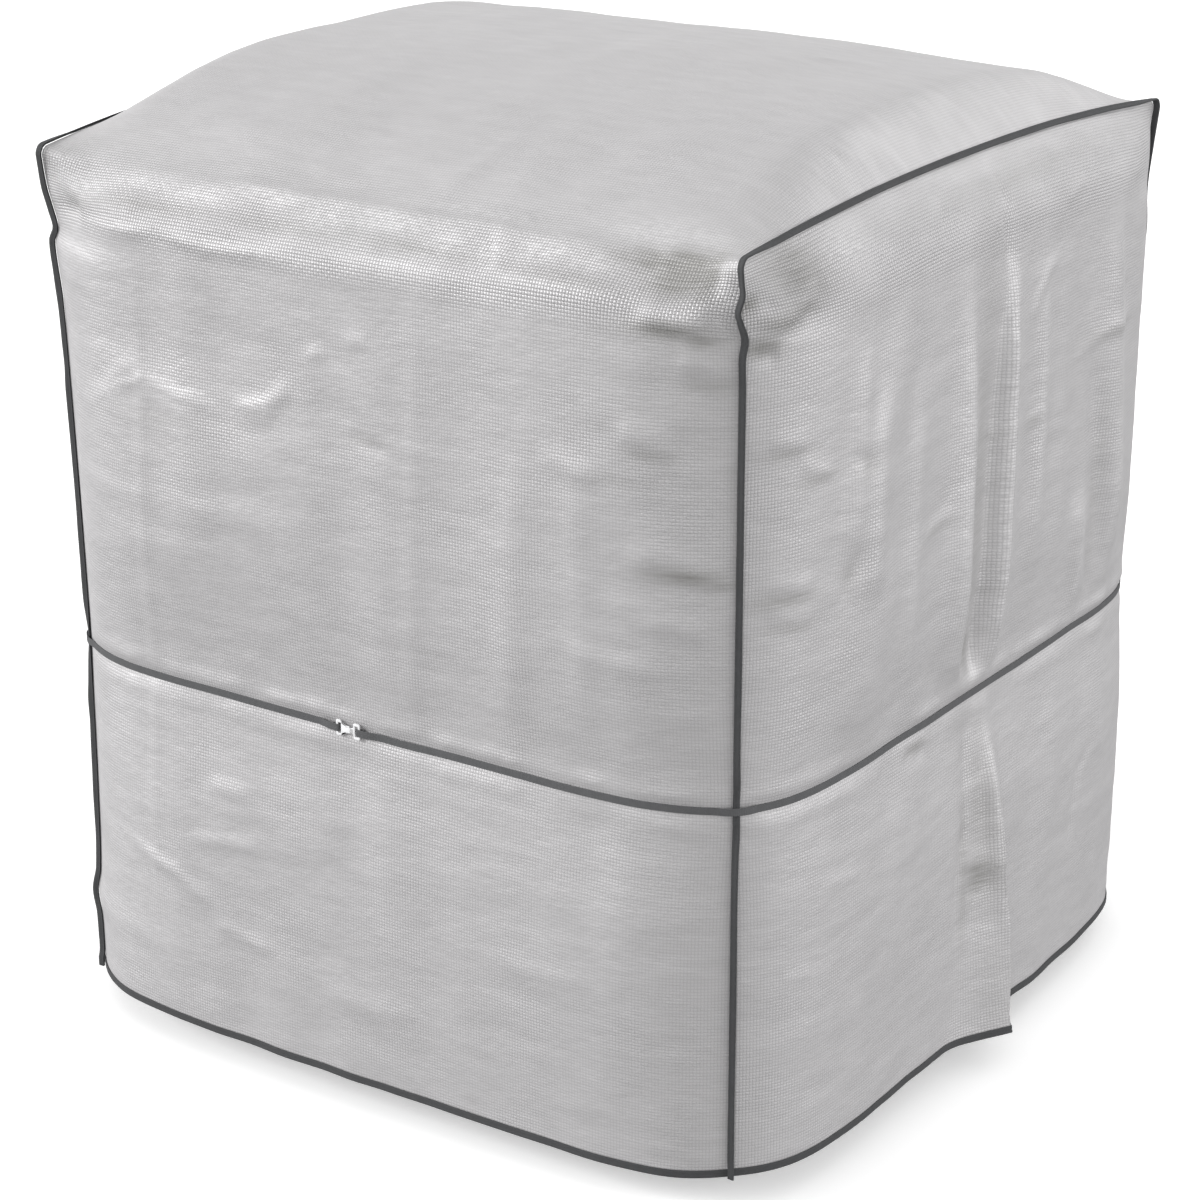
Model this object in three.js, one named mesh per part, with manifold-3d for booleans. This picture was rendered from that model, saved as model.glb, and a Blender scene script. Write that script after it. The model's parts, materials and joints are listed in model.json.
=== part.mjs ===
import * as THREE from "three";
import { mergeVertices } from "three/addons/utils/BufferGeometryUtils.js";
import Module from "manifold-3d";

// A fitted cover for an outdoor air conditioner, empty and open below, in the shape in which it hangs.
// One long strip of woven sheet makes the front, the top and the back, and two panels with arched
// tops make the sides. A folded tape binds each seam as a fin, a second tape binds each hem, and a
// webbing strap goes round the waist and closes with a two-part clasp on the front.
// Millimetres, +Z up, the front towards -Y. Heights count from the hem; the finished group is
// lowered so that its origin lies against the underside of the top.

// Driving dimensions
const cloth = { thickness: 2.4, gap: 0.3 };
const wall = { halfWidth: 448, halfDepth: 445, leanOut: 3, roundPower: 8 };
const waist = { height: 378.4, pullIn: 10, reach: 90 };
const crown = { height: 975, crestHeight: 889, crestDepth: 402, power: 2.9, sideDrop: 8 };
const shoulder = { start: 800, bendHeight: 853, bendReach: 25 };
const arch = { height: 919, drop: 22, power: 2.3, halfWidth: 405, endNarrowing: 1.5, spreadFrom: 430 };
const bevel = { slope: Math.tan(THREE.MathUtils.degToRad(50)), shortest: 45, softness: 0.5 };
const ear = { radius: 9 };
const fin = { height: 9, thickness: 2.4, root: 1.5, archLean: 9 };
const hemTape = { height: 8.5, thickness: 1, liftedEdge: 1.3 };
const strap = { width: 9.5, thickness: 1, proud: 0.45, overFin: 3.5, turnedIn: 7 };
const clasp = {
  left: -30,
  right: -1,
  plate: 1.4,
  proud: 1.6,
  halfHeight: 8.3,
  bar: 2.4,
  slot: { width: 3.6, halfHeight: 5.6 },
  body: { halfHeight: 3.6, end: -13.6 },
  catchHole: { left: -18.6, right: -15.6, halfHeight: 2 },
  neck: { halfHeight: 2.6, end: -12.9 },
  tongue: { left: -20.2, right: -11.5 },
  nib: { left: -17.9, right: -16.3, halfHeight: 1.4, depth: 1.4 },
};

const colours = { cloth: 0xc6c6c8, tape: 0x4b4d4e, webbing: 0x505253, clasp: 0xe9e9ea };

// The four upright seams, as distances from the middle planes, and how far each fin leans out of
// the strip's own direction, in degrees. The top row is the sharp corner that the ear rounds off.
const uprightSeams = {
  frontRight: [
    { z: 0, x: 397.5, y: 395, lean: 45 },
    { z: 200, x: 396.5, y: 394, lean: 45 },
    { z: 330, x: 396, y: 393.5, lean: 40 },
    { z: 378, x: 396, y: 393.5, lean: 0 },
    { z: 430, x: 396.5, y: 394, lean: 40 },
    { z: 600, x: 397.5, y: 395.5, lean: 45 },
    { z: 780, x: 399, y: 398.5, lean: 45 },
    { z: 810, x: 400, y: 401, lean: 45 },
    { z: 826, x: 402, y: 401, lean: 38 },
    { z: 840, x: 400.5, y: 404.5, lean: 50 },
    { z: 852, x: 399.5, y: 407.5, lean: 60 },
    { z: 867, x: 404, y: 407, lean: 66 },
    { z: 880, x: 404.2, y: 409.6, lean: 60 },
    { z: 897.3, x: 403.5, y: 412.5, lean: 45 },
  ],
  frontLeft: [
    { z: 0, x: 395, y: 395, lean: 45 },
    { z: 60, x: 395.5, y: 395, lean: 45 },
    { z: 88, x: 400.5, y: 394, lean: 62 },
    { z: 116, x: 394, y: 395, lean: 45 },
    { z: 200, x: 391.5, y: 394.5, lean: 45 },
    { z: 330, x: 390.5, y: 394, lean: 40 },
    { z: 378, x: 390, y: 394, lean: 0 },
    { z: 430, x: 390.5, y: 394, lean: 40 },
    { z: 607, x: 393.5, y: 396, lean: 45 },
    { z: 742, x: 397, y: 398, lean: 45 },
    { z: 800, x: 401.5, y: 400, lean: 50 },
    { z: 816, x: 393.5, y: 402.5, lean: 40 },
    { z: 838, x: 397, y: 405, lean: 45 },
    { z: 858, x: 400.5, y: 408, lean: 50 },
    { z: 897.3, x: 402.5, y: 412.5, lean: 45 },
  ],
  backRight: [
    { z: 0, x: 398, y: 396, lean: 20 },
    { z: 50, x: 398, y: 396, lean: 25 },
    { z: 74, x: 402, y: 396, lean: 62 },
    { z: 98, x: 398.5, y: 396, lean: 25 },
    { z: 200, x: 398, y: 395.5, lean: 15 },
    { z: 330, x: 397, y: 395, lean: 12 },
    { z: 378, x: 397, y: 395, lean: 0 },
    { z: 430, x: 397.5, y: 395.5, lean: 12 },
    { z: 620, x: 400, y: 398.5, lean: 15 },
    { z: 690, x: 400.5, y: 400, lean: 38 },
    { z: 760, x: 401.5, y: 401, lean: 52 },
    { z: 810, x: 400.5, y: 401, lean: 30 },
    { z: 850, x: 401.5, y: 406, lean: 40 },
    { z: 897.3, x: 403.5, y: 412.5, lean: 45 },
  ],
  backLeft: [
    { z: 0, x: 397, y: 396, lean: 40 },
    { z: 120, x: 395.5, y: 395, lean: 46 },
    { z: 240, x: 396.5, y: 396, lean: 38 },
    { z: 330, x: 396, y: 395, lean: 35 },
    { z: 378, x: 396, y: 395, lean: 0 },
    { z: 430, x: 396.5, y: 395.5, lean: 36 },
    { z: 600, x: 398.5, y: 397, lean: 44 },
    { z: 760, x: 400, y: 400, lean: 42 },
    { z: 824, x: 403, y: 401.5, lean: 50 },
    { z: 846, x: 399.5, y: 406, lean: 44 },
    { z: 897.3, x: 403.5, y: 412.5, lean: 45 },
  ],
};

// Folds that run up and down a wall: a row for each height, with the place of the crest along the
// wall, how far the fold reaches to each side of it, and how far it stands out.
const longFolds = [
  {
    panel: "right", // the flare below the strap, which stands out of the hem
    sharpness: 0.7,
    rows: [
      { z: 0, at: 15, before: 70, after: 26, proud: 38 },
      { z: 90, at: 20, before: 68, after: 25, proud: 29 },
      { z: 150, at: 17, before: 52, after: 23, proud: 20 },
      { z: 225, at: 15, before: 40, after: 22, proud: 12 },
      { z: 307, at: 12, before: 38, after: 24, proud: 6 },
      { z: 371, at: 6, before: 34, after: 28, proud: 0 },
    ],
  },
  {
    panel: "right", // the sharp side of the tuck above the strap
    sharpness: 0.8,
    rows: [
      { z: 386, at: 2, before: 26, after: 20, proud: 0 },
      { z: 425, at: 15, before: 36, after: 24, proud: 9 },
      { z: 500, at: 18, before: 38, after: 28, proud: 9 },
      { z: 665, at: 19, before: 38, after: 30, proud: 8 },
      { z: 750, at: 16, before: 34, after: 32, proud: 6 },
      { z: 835, at: 24, before: 30, after: 30, proud: 0 },
    ],
  },
  {
    panel: "right", // the full side of the tuck
    sharpness: 0.3,
    rows: [
      { z: 386, at: -40, before: 40, after: 18, proud: 0 },
      { z: 430, at: -64, before: 50, after: 20, proud: 8 },
      { z: 520, at: -70, before: 55, after: 24, proud: 8 },
      { z: 660, at: -64, before: 45, after: 30, proud: 6 },
      { z: 760, at: -70, before: 40, after: 36, proud: 3 },
      { z: 840, at: -80, before: 40, after: 40, proud: 0 },
    ],
  },
  {
    panel: "right", // the trough that the two sides close over
    sharpness: 0.5,
    rows: [
      { z: 386, at: -22, before: 16, after: 26, proud: 0 },
      { z: 430, at: -40, before: 14, after: 40, proud: -9 },
      { z: 520, at: -40, before: 18, after: 44, proud: -7 },
      { z: 660, at: -32, before: 24, after: 40, proud: -4 },
      { z: 780, at: -24, before: 30, after: 36, proud: 0 },
    ],
  },
  {
    panel: "right",
    sharpness: 0,
    rows: [
      { z: 388, at: -248, before: 70, after: 60, proud: 0 },
      { z: 450, at: -244, before: 80, after: 66, proud: 7 },
      { z: 600, at: -236, before: 76, after: 62, proud: 7 },
      { z: 725, at: -218, before: 60, after: 54, proud: 5 },
      { z: 850, at: -185, before: 46, after: 46, proud: 0 },
    ],
  },
  {
    panel: "right",
    sharpness: 0.2,
    rows: [
      { z: 388, at: 262, before: 50, after: 60, proud: 0 },
      { z: 460, at: 264, before: 56, after: 62, proud: 6 },
      { z: 620, at: 250, before: 52, after: 60, proud: 6 },
      { z: 760, at: 234, before: 46, after: 52, proud: 5 },
      { z: 862, at: 221, before: 40, after: 40, proud: 0 },
    ],
  },
  {
    panel: "left",
    sharpness: 0.2,
    rows: [
      { z: 0, at: -150, before: 90, after: 80, proud: 8 },
      { z: 200, at: -140, before: 74, after: 70, proud: 5 },
      { z: 371, at: -130, before: 60, after: 60, proud: 0 },
    ],
  },
  {
    panel: "left",
    sharpness: 0.3,
    rows: [
      { z: 386, at: 60, before: 50, after: 56, proud: 0 },
      { z: 450, at: 70, before: 60, after: 60, proud: 8 },
      { z: 640, at: 84, before: 64, after: 60, proud: 6 },
      { z: 830, at: 96, before: 50, after: 50, proud: 0 },
    ],
  },
  {
    panel: "back",
    sharpness: 0.2,
    rows: [
      { z: 0, at: 120, before: 80, after: 90, proud: 9 },
      { z: 210, at: 112, before: 70, after: 76, proud: 5 },
      { z: 371, at: 100, before: 60, after: 60, proud: 0 },
    ],
  },
  {
    panel: "back",
    sharpness: 0.2,
    rows: [
      { z: 386, at: -140, before: 60, after: 60, proud: 0 },
      { z: 460, at: -146, before: 70, after: 66, proud: 7 },
      { z: 660, at: -156, before: 70, after: 66, proud: 5 },
      { z: 830, at: -166, before: 50, after: 50, proud: 0 },
    ],
  },
];

// Round hollows and bulges: where they lie along and up a wall, or along and across the top, their
// reach both ways and how far they stand out of the sheet.
const dents = [
  { panel: "front", along: 338, up: 838, reachAlong: 52, reachUp: 40, proud: -13 },
  { panel: "front", along: -352, up: 842, reachAlong: 44, reachUp: 36, proud: -9 },
  { panel: "front", along: 230, up: 868, reachAlong: 90, reachUp: 26, proud: 4 },
  { panel: "front", along: -60, up: 866, reachAlong: 110, reachUp: 26, proud: 4 },
  { panel: "front", along: -250, up: 862, reachAlong: 70, reachUp: 24, proud: 3 },
  { panel: "right", along: -352, up: 846, reachAlong: 40, reachUp: 44, proud: -11 },
  { panel: "right", along: 350, up: 846, reachAlong: 46, reachUp: 44, proud: -8 },
  { panel: "left", along: -350, up: 846, reachAlong: 46, reachUp: 44, proud: -8 },
  { panel: "left", along: 348, up: 846, reachAlong: 44, reachUp: 44, proud: -9 },
  { panel: "back", along: 340, up: 840, reachAlong: 50, reachUp: 40, proud: -10 },
  { panel: "back", along: -340, up: 840, reachAlong: 50, reachUp: 40, proud: -10 },
  { panel: "top", along: -150, up: -190, reachAlong: 120, reachUp: 80, proud: -4 },
  { panel: "top", along: 170, up: 60, reachAlong: 130, reachUp: 110, proud: 3 },
];

// Where the sheets are divided: heights up the seams, fractions from front to back, and fractions
// from side to side. The right panel has more columns, in millimetres, across its folds.
const heights = [
  hemTape.liftedEdge, hemTape.height + 0.5, 45, 90, 140, 200, 265, 325, 371.5, 385.3, 430, 510, 600, 680, 745, 790, 816, 834,
  851, 867, 881,
];
const halfArch = [0, 0.15, 0.3, 0.44, 0.57, 0.69, 0.79, 0.87, 0.93, 0.975, 1];
const halfAcross = [0, 0.2, 0.4, 0.58, 0.72, 0.82, 0.89, 0.94, 0.975, 1];
const foldColumns = [-84, -72, -50, -41, -32, -20, -8, 8, 15, 21, 28, 36, 46, 76, 95];

const mirrored = (half) => [...half.slice(1).reverse().map((f) => -f), ...half];
const archStops = mirrored(halfArch);
const acrossStops = mirrored(halfAcross);
const foldStops = foldColumns.map((y) => y / uprightSeams.frontRight[0].y);
const rightStops = [...archStops, ...foldStops].sort((a, b) => a - b);

const vec = (x, y, z) => new THREE.Vector3(x, y, z);
const mix = (a, b, f) => a + (b - a) * f;
const clamp01 = (f) => Math.min(Math.max(f, 0), 1);
const ease = (f) => clamp01(f) ** 2 * (3 - 2 * clamp01(f));
const round = (r, run) => r - Math.sqrt(r * r - run * run);

// The lower of two values, rounded where they cross.
function softMin(a, b, softness) {
  const bite = Math.max(softness - Math.abs(a - b), 0);
  return Math.min(a, b) - (bite * bite) / (4 * softness);
}

// A smooth curve through one column of a table, read at a height.
function readTable(rows, column, z) {
  const last = rows.length - 1;
  if (z <= rows[0].z) return rows[0][column];
  if (z >= rows[last].z) return rows[last][column];
  const i = rows.findIndex((row) => row.z > z) - 1;
  const slope = (k) => {
    const below = rows[Math.max(k - 1, 0)];
    const above = rows[Math.min(k + 1, last)];
    return (above[column] - below[column]) / (above.z - below.z);
  };
  const span = rows[i + 1].z - rows[i].z;
  const f = (z - rows[i].z) / span;
  const rise = rows[i + 1][column] - rows[i][column];
  const bow = (slope(i) * span - rise) * (1 - f) - (slope(i + 1) * span - rise) * f;
  return rows[i][column] + rise * f + f * (1 - f) * bow;
}

const cornerOf = (sx, sy) =>
  uprightSeams[(sy < 0 ? "front" : "back") + (sx < 0 ? "Left" : "Right")];
const sharpHeight = (rows) => rows[rows.length - 1].z;
const earCut = ear.radius * (1 - Math.SQRT1_2);
const earHeight = (rows) => sharpHeight(rows) - earCut;

// A point of an upright seam, up to the middle of the ear's round.
function uprightPoint(sx, sy, z) {
  const rows = cornerOf(sx, sy);
  const run = Math.max(z - (sharpHeight(rows) - ear.radius), 0);
  const y = readTable(rows, "y", z) - round(ear.radius, Math.min(run, ear.radius));
  return vec(sx * readTable(rows, "x", z), sy * y, z);
}

// A point of an arched seam, from the middle of the front ear at -1 to the back ear at 1.
function archPoint(sx, stop) {
  if (Math.abs(stop) === 1) {
    return uprightPoint(sx, stop, earHeight(cornerOf(sx, stop)));
  }
  const rows = cornerOf(sx, stop);
  const sharp = rows[rows.length - 1];
  const y = stop * (sharp.y - earCut);
  const drop = arch.drop * Math.abs(y / sharp.y) ** arch.power;
  const run = Math.max(Math.abs(y) - (sharp.y - ear.radius), 0);
  const narrowing = arch.endNarrowing * Math.abs(stop) ** 6;
  return vec(sx * (arch.halfWidth - narrowing), y, arch.height - drop - round(ear.radius, run));
}

const pulled = (z) => waist.pullIn * Math.exp(-(((z - waist.height) / waist.reach) ** 2));
const wallDepth = (z) => wall.halfDepth + (wall.leanOut * z) / shoulder.start - pulled(z);
const wallWidth = (z) => wall.halfWidth - pulled(z);

// The middle of the shoulder between a wall and the top, from 0 at its foot to 1 at the crest, as
// a distance from the middle plane and a height.
function shoulderMiddle(f) {
  const depth = wallDepth(shoulder.start);
  const rise = shoulder.bendHeight - shoulder.start;
  const run = Math.hypot(depth - crown.crestDepth, crown.crestHeight - shoulder.bendHeight);
  const way = f * (rise + run) - rise;
  const past = (w) => ({
    y: mix(depth, crown.crestDepth, Math.max(w, 0) / run),
    z: shoulder.bendHeight + (w < 0 ? w : ((crown.crestHeight - shoulder.bendHeight) * w) / run),
  });
  if (Math.abs(way) >= shoulder.bendReach) return past(way);
  const from = past(-shoulder.bendReach);
  const to = past(shoulder.bendReach);
  const g = (way + shoulder.bendReach) / (2 * shoulder.bendReach);
  return {
    y: (1 - g) ** 2 * from.y + 2 * g * (1 - g) * depth + g * g * to.y,
    z: (1 - g) ** 2 * from.z + 2 * g * (1 - g) * shoulder.bendHeight + g * g * to.z,
  };
}

// The strip in cross rows: a middle point, the two seam points, and how much of the row is shaped
// as the top is (1) rather than as a wall (0).
function wallRow(sy, seamHeight) {
  const top = Math.min(earHeight(cornerOf(1, sy)), earHeight(cornerOf(-1, sy)));
  const f = clamp01((seamHeight - shoulder.start) / (top - shoulder.start));
  const middle = f > 0 ? shoulderMiddle(f) : { y: wallDepth(seamHeight), z: seamHeight };
  return {
    panel: sy < 0 ? "front" : "back",
    middle: vec(0, sy * middle.y, middle.z),
    ends: [-1, 1].map((sx) => {
      const height = seamHeight >= top ? earHeight(cornerOf(sx, sy)) : seamHeight;
      return uprightPoint(sx, sy, height);
    }),
    asTop: f,
    sideDrop: 0,
  };
}

function topRow(stop) {
  const rise = 1 - Math.abs(stop) ** crown.power;
  const z = mix(crown.crestHeight, crown.height, rise);
  return {
    panel: "top",
    middle: vec(0, stop * crown.crestDepth, z),
    ends: [-1, 1].map((sx) => archPoint(sx, stop)),
    asTop: 1,
    sideDrop: crown.sideDrop * (1 - stop ** 2),
  };
}

function stripPoint(row, across) {
  const end = row.ends[across < 0 ? 0 : 1];
  const reach = Math.abs(across);
  const x = end.x * reach;
  const climb = Math.hypot(row.middle.y - end.y, row.middle.z - end.z);
  const ramp = Math.max(climb / bevel.slope, bevel.shortest);
  const asWall = 1 - reach ** wall.roundPower;
  const asTop = softMin(1, (Math.abs(end.x) * (1 - reach)) / ramp, bevel.softness);
  const weight = mix(asWall, asTop, ease(row.asTop));
  const sideDrop = row.sideDrop * reach ** 2 * weight;
  return vec(x, mix(end.y, row.middle.y, weight), mix(end.z, row.middle.z, weight) - sideDrop);
}

// A side panel's point: how far up it lies, as a height on the upright seam, and its stop along it.
// It bulges from the plane of its seams to the wall's width, and rolls back in below the arch.
function sidePoint(sx, seamHeight, stop) {
  const sy = stop < 0 ? -1 : 1;
  const top = archPoint(sx, stop);
  const earTop = earHeight(cornerOf(sx, sy));
  const spread = clamp01((seamHeight - arch.spreadFrom) / (earTop - arch.spreadFrom));
  const z = seamHeight + (top.z - earTop) * spread;
  const seam = uprightPoint(sx, sy, seamHeight);
  const toCorner = Math.abs(stop) ** wall.roundPower;
  const frame = mix(Math.abs(top.x), Math.abs(seam.x), toCorner);
  const bulge = (wallWidth(z) - frame) * (1 - toCorner);
  const ramp = Math.max(bulge * bevel.slope, bevel.shortest);
  const weight = softMin(1, (top.z - z) / ramp, bevel.softness);
  return vec(sx * (frame + bulge * weight), Math.abs(seam.y) * stop, z);
}

// How far the folds and dents push a point of a panel out of its smooth shape.
function foldHeight(panel, along, up) {
  let out = 0;
  for (const fold of longFolds) {
    const rows = fold.rows;
    if (fold.panel !== panel || up < rows[0].z || up > rows[rows.length - 1].z) continue;
    const off = along - readTable(rows, "at", up);
    const reach = readTable(rows, off < 0 ? "before" : "after", up);
    const f = clamp01(Math.abs(off) / reach);
    const soft = 0.5 + 0.5 * Math.cos(Math.PI * f);
    out += readTable(rows, "proud", up) * mix(soft, 1 - f, fold.sharpness);
  }
  for (const dent of dents) {
    if (dent.panel !== panel) continue;
    const far = ((along - dent.along) / dent.reachAlong) ** 2 + ((up - dent.up) / dent.reachUp) ** 2;
    out += dent.proud * Math.exp(-far);
  }
  return out;
}

// Outward unit normals of a grid of points, from its neighbours.
function gridNormals(grid, outward) {
  return grid.map((line, i) =>
    line.map((point, j) => {
      const down = grid[Math.max(i - 1, 0)][j];
      const up = grid[Math.min(i + 1, grid.length - 1)][j];
      const left = line[Math.max(j - 1, 0)];
      const right = line[Math.min(j + 1, line.length - 1)];
      const normal = up.clone().sub(down).cross(right.clone().sub(left)).normalize();
      return normal.multiplyScalar(outward);
    }),
  );
}

// Pushes a grid out by its folds; the seams, where the sheet is sewn, keep their place.
function folded(grid, outward, heightAt) {
  const normals = gridNormals(grid, outward);
  return grid.map((line, i) =>
    line.map((point, j) => point.clone().addScaledVector(normals[i][j], heightAt(point, i, j))),
  );
}

// One closed solid between two grids of the same size.
function solidBetween(outer, inner) {
  const rows = outer.length;
  const columns = outer[0].length;
  const flat = [...outer.flat(), ...inner.flat()];
  const outerAt = (i, j) => i * columns + j;
  const innerAt = (i, j) => rows * columns + i * columns + j;
  const faces = [];
  const quad = (a, b, c, d) => faces.push(a, b, c, a, c, d);
  for (let i = 0; i + 1 < rows; i++) {
    for (let j = 0; j + 1 < columns; j++) {
      quad(outerAt(i, j), outerAt(i + 1, j), outerAt(i + 1, j + 1), outerAt(i, j + 1));
      quad(innerAt(i, j), innerAt(i, j + 1), innerAt(i + 1, j + 1), innerAt(i + 1, j));
    }
    const end = columns - 1;
    quad(outerAt(i, 0), innerAt(i, 0), innerAt(i + 1, 0), outerAt(i + 1, 0));
    quad(outerAt(i, end), outerAt(i + 1, end), innerAt(i + 1, end), innerAt(i, end));
  }
  for (let j = 0; j + 1 < columns; j++) {
    const end = rows - 1;
    quad(outerAt(0, j), outerAt(0, j + 1), innerAt(0, j + 1), innerAt(0, j));
    quad(outerAt(end, j), innerAt(end, j), innerAt(end, j + 1), outerAt(end, j + 1));
  }
  let volume = 0;
  for (let k = 0; k < faces.length; k += 3) {
    const [a, b, c] = [flat[faces[k]], flat[faces[k + 1]], flat[faces[k + 2]]];
    volume += a.dot(b.clone().cross(c));
  }
  if (volume < 0) faces.reverse();
  return new THREE.BufferGeometry().setFromPoints(flat).setIndex(faces);
}

// The smooth grids of the three sheets, pushed out by their folds.
const wallRows = (sy) => [...heights, Infinity].map((z) => wallRow(sy, z));
const stripRows = [
  ...wallRows(-1),
  ...archStops.slice(1, -1).map(topRow),
  ...wallRows(1).reverse(),
];
const atSeam = (share) => 1 - Math.abs(share) ** 14;

function stripSheet() {
  const grid = stripRows.map((row) => acrossStops.map((across) => stripPoint(row, across)));
  return folded(grid, -1, (point, i, j) => {
    const panel = stripRows[i].panel;
    const up = panel === "top" ? point.y : point.z;
    return foldHeight(panel, point.x, up) * atSeam(acrossStops[j]);
  });
}

function sideSheet(sx, stops) {
  const earAt = earHeight(cornerOf(sx, -1));
  const grid = [...heights, earAt].map((z) => stops.map((stop) => sidePoint(sx, z, stop)));
  return folded(grid, sx < 0 ? 1 : -1, (point, i, j) => {
    const seamed = i === grid.length - 1 ? 0 : atSeam(stops[j]);
    return foldHeight(sx < 0 ? "left" : "right", point.y, point.z) * seamed;
  });
}

const sheets = {
  strip: { grid: stripSheet(), outward: -1 },
  left: { grid: sideSheet(-1, archStops), outward: 1, stops: archStops },
  right: { grid: sideSheet(1, rightStops), outward: -1, stops: rightStops },
};
for (const sheet of Object.values(sheets)) {
  sheet.normals = gridNormals(sheet.grid, sheet.outward);
}

// The line of each seam up the front, over the arch and down the back. Each step knows its place
// in both sheets, and gets the direction out of the cloth and the one from the strip to the side.
function seamLine(sx) {
  const side = sx < 0 ? sheets.left : sheets.right;
  const { strip } = sheets;
  const stripColumn = sx < 0 ? 0 : acrossStops.length - 1;
  const stripNext = sx < 0 ? 1 : stripColumn - 1;
  const lastRow = heights.length;
  const lastColumn = side.stops.length - 1;
  const steps = [];
  const add = (stripRow, row, column, rowNext, columnNext, lean) => {
    const point = strip.grid[stripRow][stripColumn].clone();
    const out = strip.normals[stripRow][stripColumn].clone().add(side.normals[row][column]);
    out.normalize();
    const toSide = side.grid[rowNext][columnNext].clone().sub(strip.grid[stripRow][stripNext]);
    toSide.addScaledVector(out, -toSide.dot(out)).normalize();
    steps.push({ point, out, toSide, lean, stripRow, row, column });
  };
  const leanAt = (sy, i) =>
    readTable(cornerOf(sx, sy), "lean", i === lastRow ? Infinity : heights[i]);
  for (let i = 0; i < lastRow; i++) add(i, i, 0, i, 1, leanAt(-1, i));
  add(lastRow, lastRow, 0, lastRow - 1, 1, leanAt(-1, lastRow));
  archStops.slice(1, -1).forEach((stop, k) => {
    const column = side.stops.indexOf(stop);
    const nearEar = ease((Math.abs(stop) - 0.85) / 0.15);
    const lean = mix(fin.archLean, leanAt(Math.sign(stop) || 1, lastRow), nearEar);
    add(lastRow + 1 + k, lastRow, column, lastRow - 1, column, lean);
  });
  const backStart = stripRows.length - 1 - lastRow;
  add(backStart, lastRow, lastColumn, lastRow - 1, lastColumn - 1, leanAt(1, lastRow));
  for (let i = lastRow - 1; i >= 0; i--) {
    add(backStart + lastRow - i, i, lastColumn, i, lastColumn - 1, leanAt(1, i));
  }
  return steps;
}
const seamLines = { left: seamLine(-1), right: seamLine(1) };

// Parts the sheets by the sewing gap along each seam, and gives their raw edges one direction.
for (const [name, steps] of Object.entries(seamLines)) {
  const stripColumn = name === "left" ? 0 : acrossStops.length - 1;
  for (const step of steps) {
    sheets.strip.grid[step.stripRow][stripColumn] = step.point
      .clone()
      .addScaledVector(step.toSide, -cloth.gap / 2);
    sheets[name].grid[step.row][step.column] = step.point
      .clone()
      .addScaledVector(step.toSide, cloth.gap / 2);
    sheets.strip.normals[step.stripRow][stripColumn] = step.out;
    sheets[name].normals[step.row][step.column] = step.out;
  }
}

// The right panel's further columns follow the same line along its arch.
function evenArch({ grid, normals, stops }) {
  const row = heights.length;
  const paired = stops.map((stop) => archStops.includes(stop));
  stops.forEach((stop, j) => {
    if (paired[j]) return;
    const before = paired.lastIndexOf(true, j);
    const after = paired.indexOf(true, j);
    const share = (stop - stops[before]) / (stops[after] - stops[before]);
    grid[row][j] = grid[row][before].clone().lerp(grid[row][after], share);
    normals[row][j] = normals[row][before].clone().lerp(normals[row][after], share);
  });
}
evenArch(sheets.right);

for (const sheet of Object.values(sheets)) {
  sheet.inner = sheet.grid.map((line, i) =>
    line.map((point, j) => point.clone().addScaledVector(sheet.normals[i][j], -cloth.thickness)),
  );
}

const clothMaterial = new THREE.MeshStandardMaterial({
  color: colours.cloth,
  roughness: 0.55,
  metalness: 0.1,
});
const tapeMaterial = new THREE.MeshStandardMaterial({ color: colours.tape, roughness: 0.8 });
const webbingMaterial = new THREE.MeshStandardMaterial({ color: colours.webbing, roughness: 0.75 });
const claspMaterial = new THREE.MeshStandardMaterial({ color: colours.clasp, roughness: 0.2 });

function named(name, geometry, material) {
  const mesh = new THREE.Mesh(geometry, material);
  mesh.name = name;
  return mesh;
}

// A fin of folded tape along a seam. Low down it is lifted over the hem tape that it crosses.
function seamBinding(steps) {
  const overHem = hemTape.thickness + cloth.gap;
  const section = (step, point, lift) => {
    const lean = THREE.MathUtils.degToRad(step.lean);
    const along = step.toSide.clone().multiplyScalar(Math.cos(lean));
    along.addScaledVector(step.out, Math.sin(lean));
    const across = step.out.clone().multiplyScalar(Math.cos(lean));
    across.addScaledVector(step.toSide, -Math.sin(lean));
    const half = fin.thickness / 2;
    const root = point.clone().addScaledVector(step.toSide, -fin.root);
    root.addScaledVector(step.out, cloth.gap + lift + half * Math.cos(lean));
    const tip = root.clone().addScaledVector(along, fin.height);
    return {
      outer: [root, tip].map((p) => p.clone().addScaledVector(across, half)),
      inner: [root, tip].map((p) => p.clone().addScaledVector(across, -half)),
    };
  };
  const atHeight = (step, z) => vec(step.point.x, step.point.y, z);
  const foot = (step) => [
    section(step, atHeight(step, -0.5), overHem),
    section(step, atHeight(step, hemTape.height + 1), overHem),
    section(step, atHeight(step, hemTape.height + 9), 0),
  ];
  const middle = steps.slice(1, -1).map((step) => section(step, step.point, 0));
  const sections = [...foot(steps[0]), ...middle, ...foot(steps[steps.length - 1]).reverse()];
  return solidBetween(
    sections.map((s) => s.outer),
    sections.map((s) => s.inner),
  );
}

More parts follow.
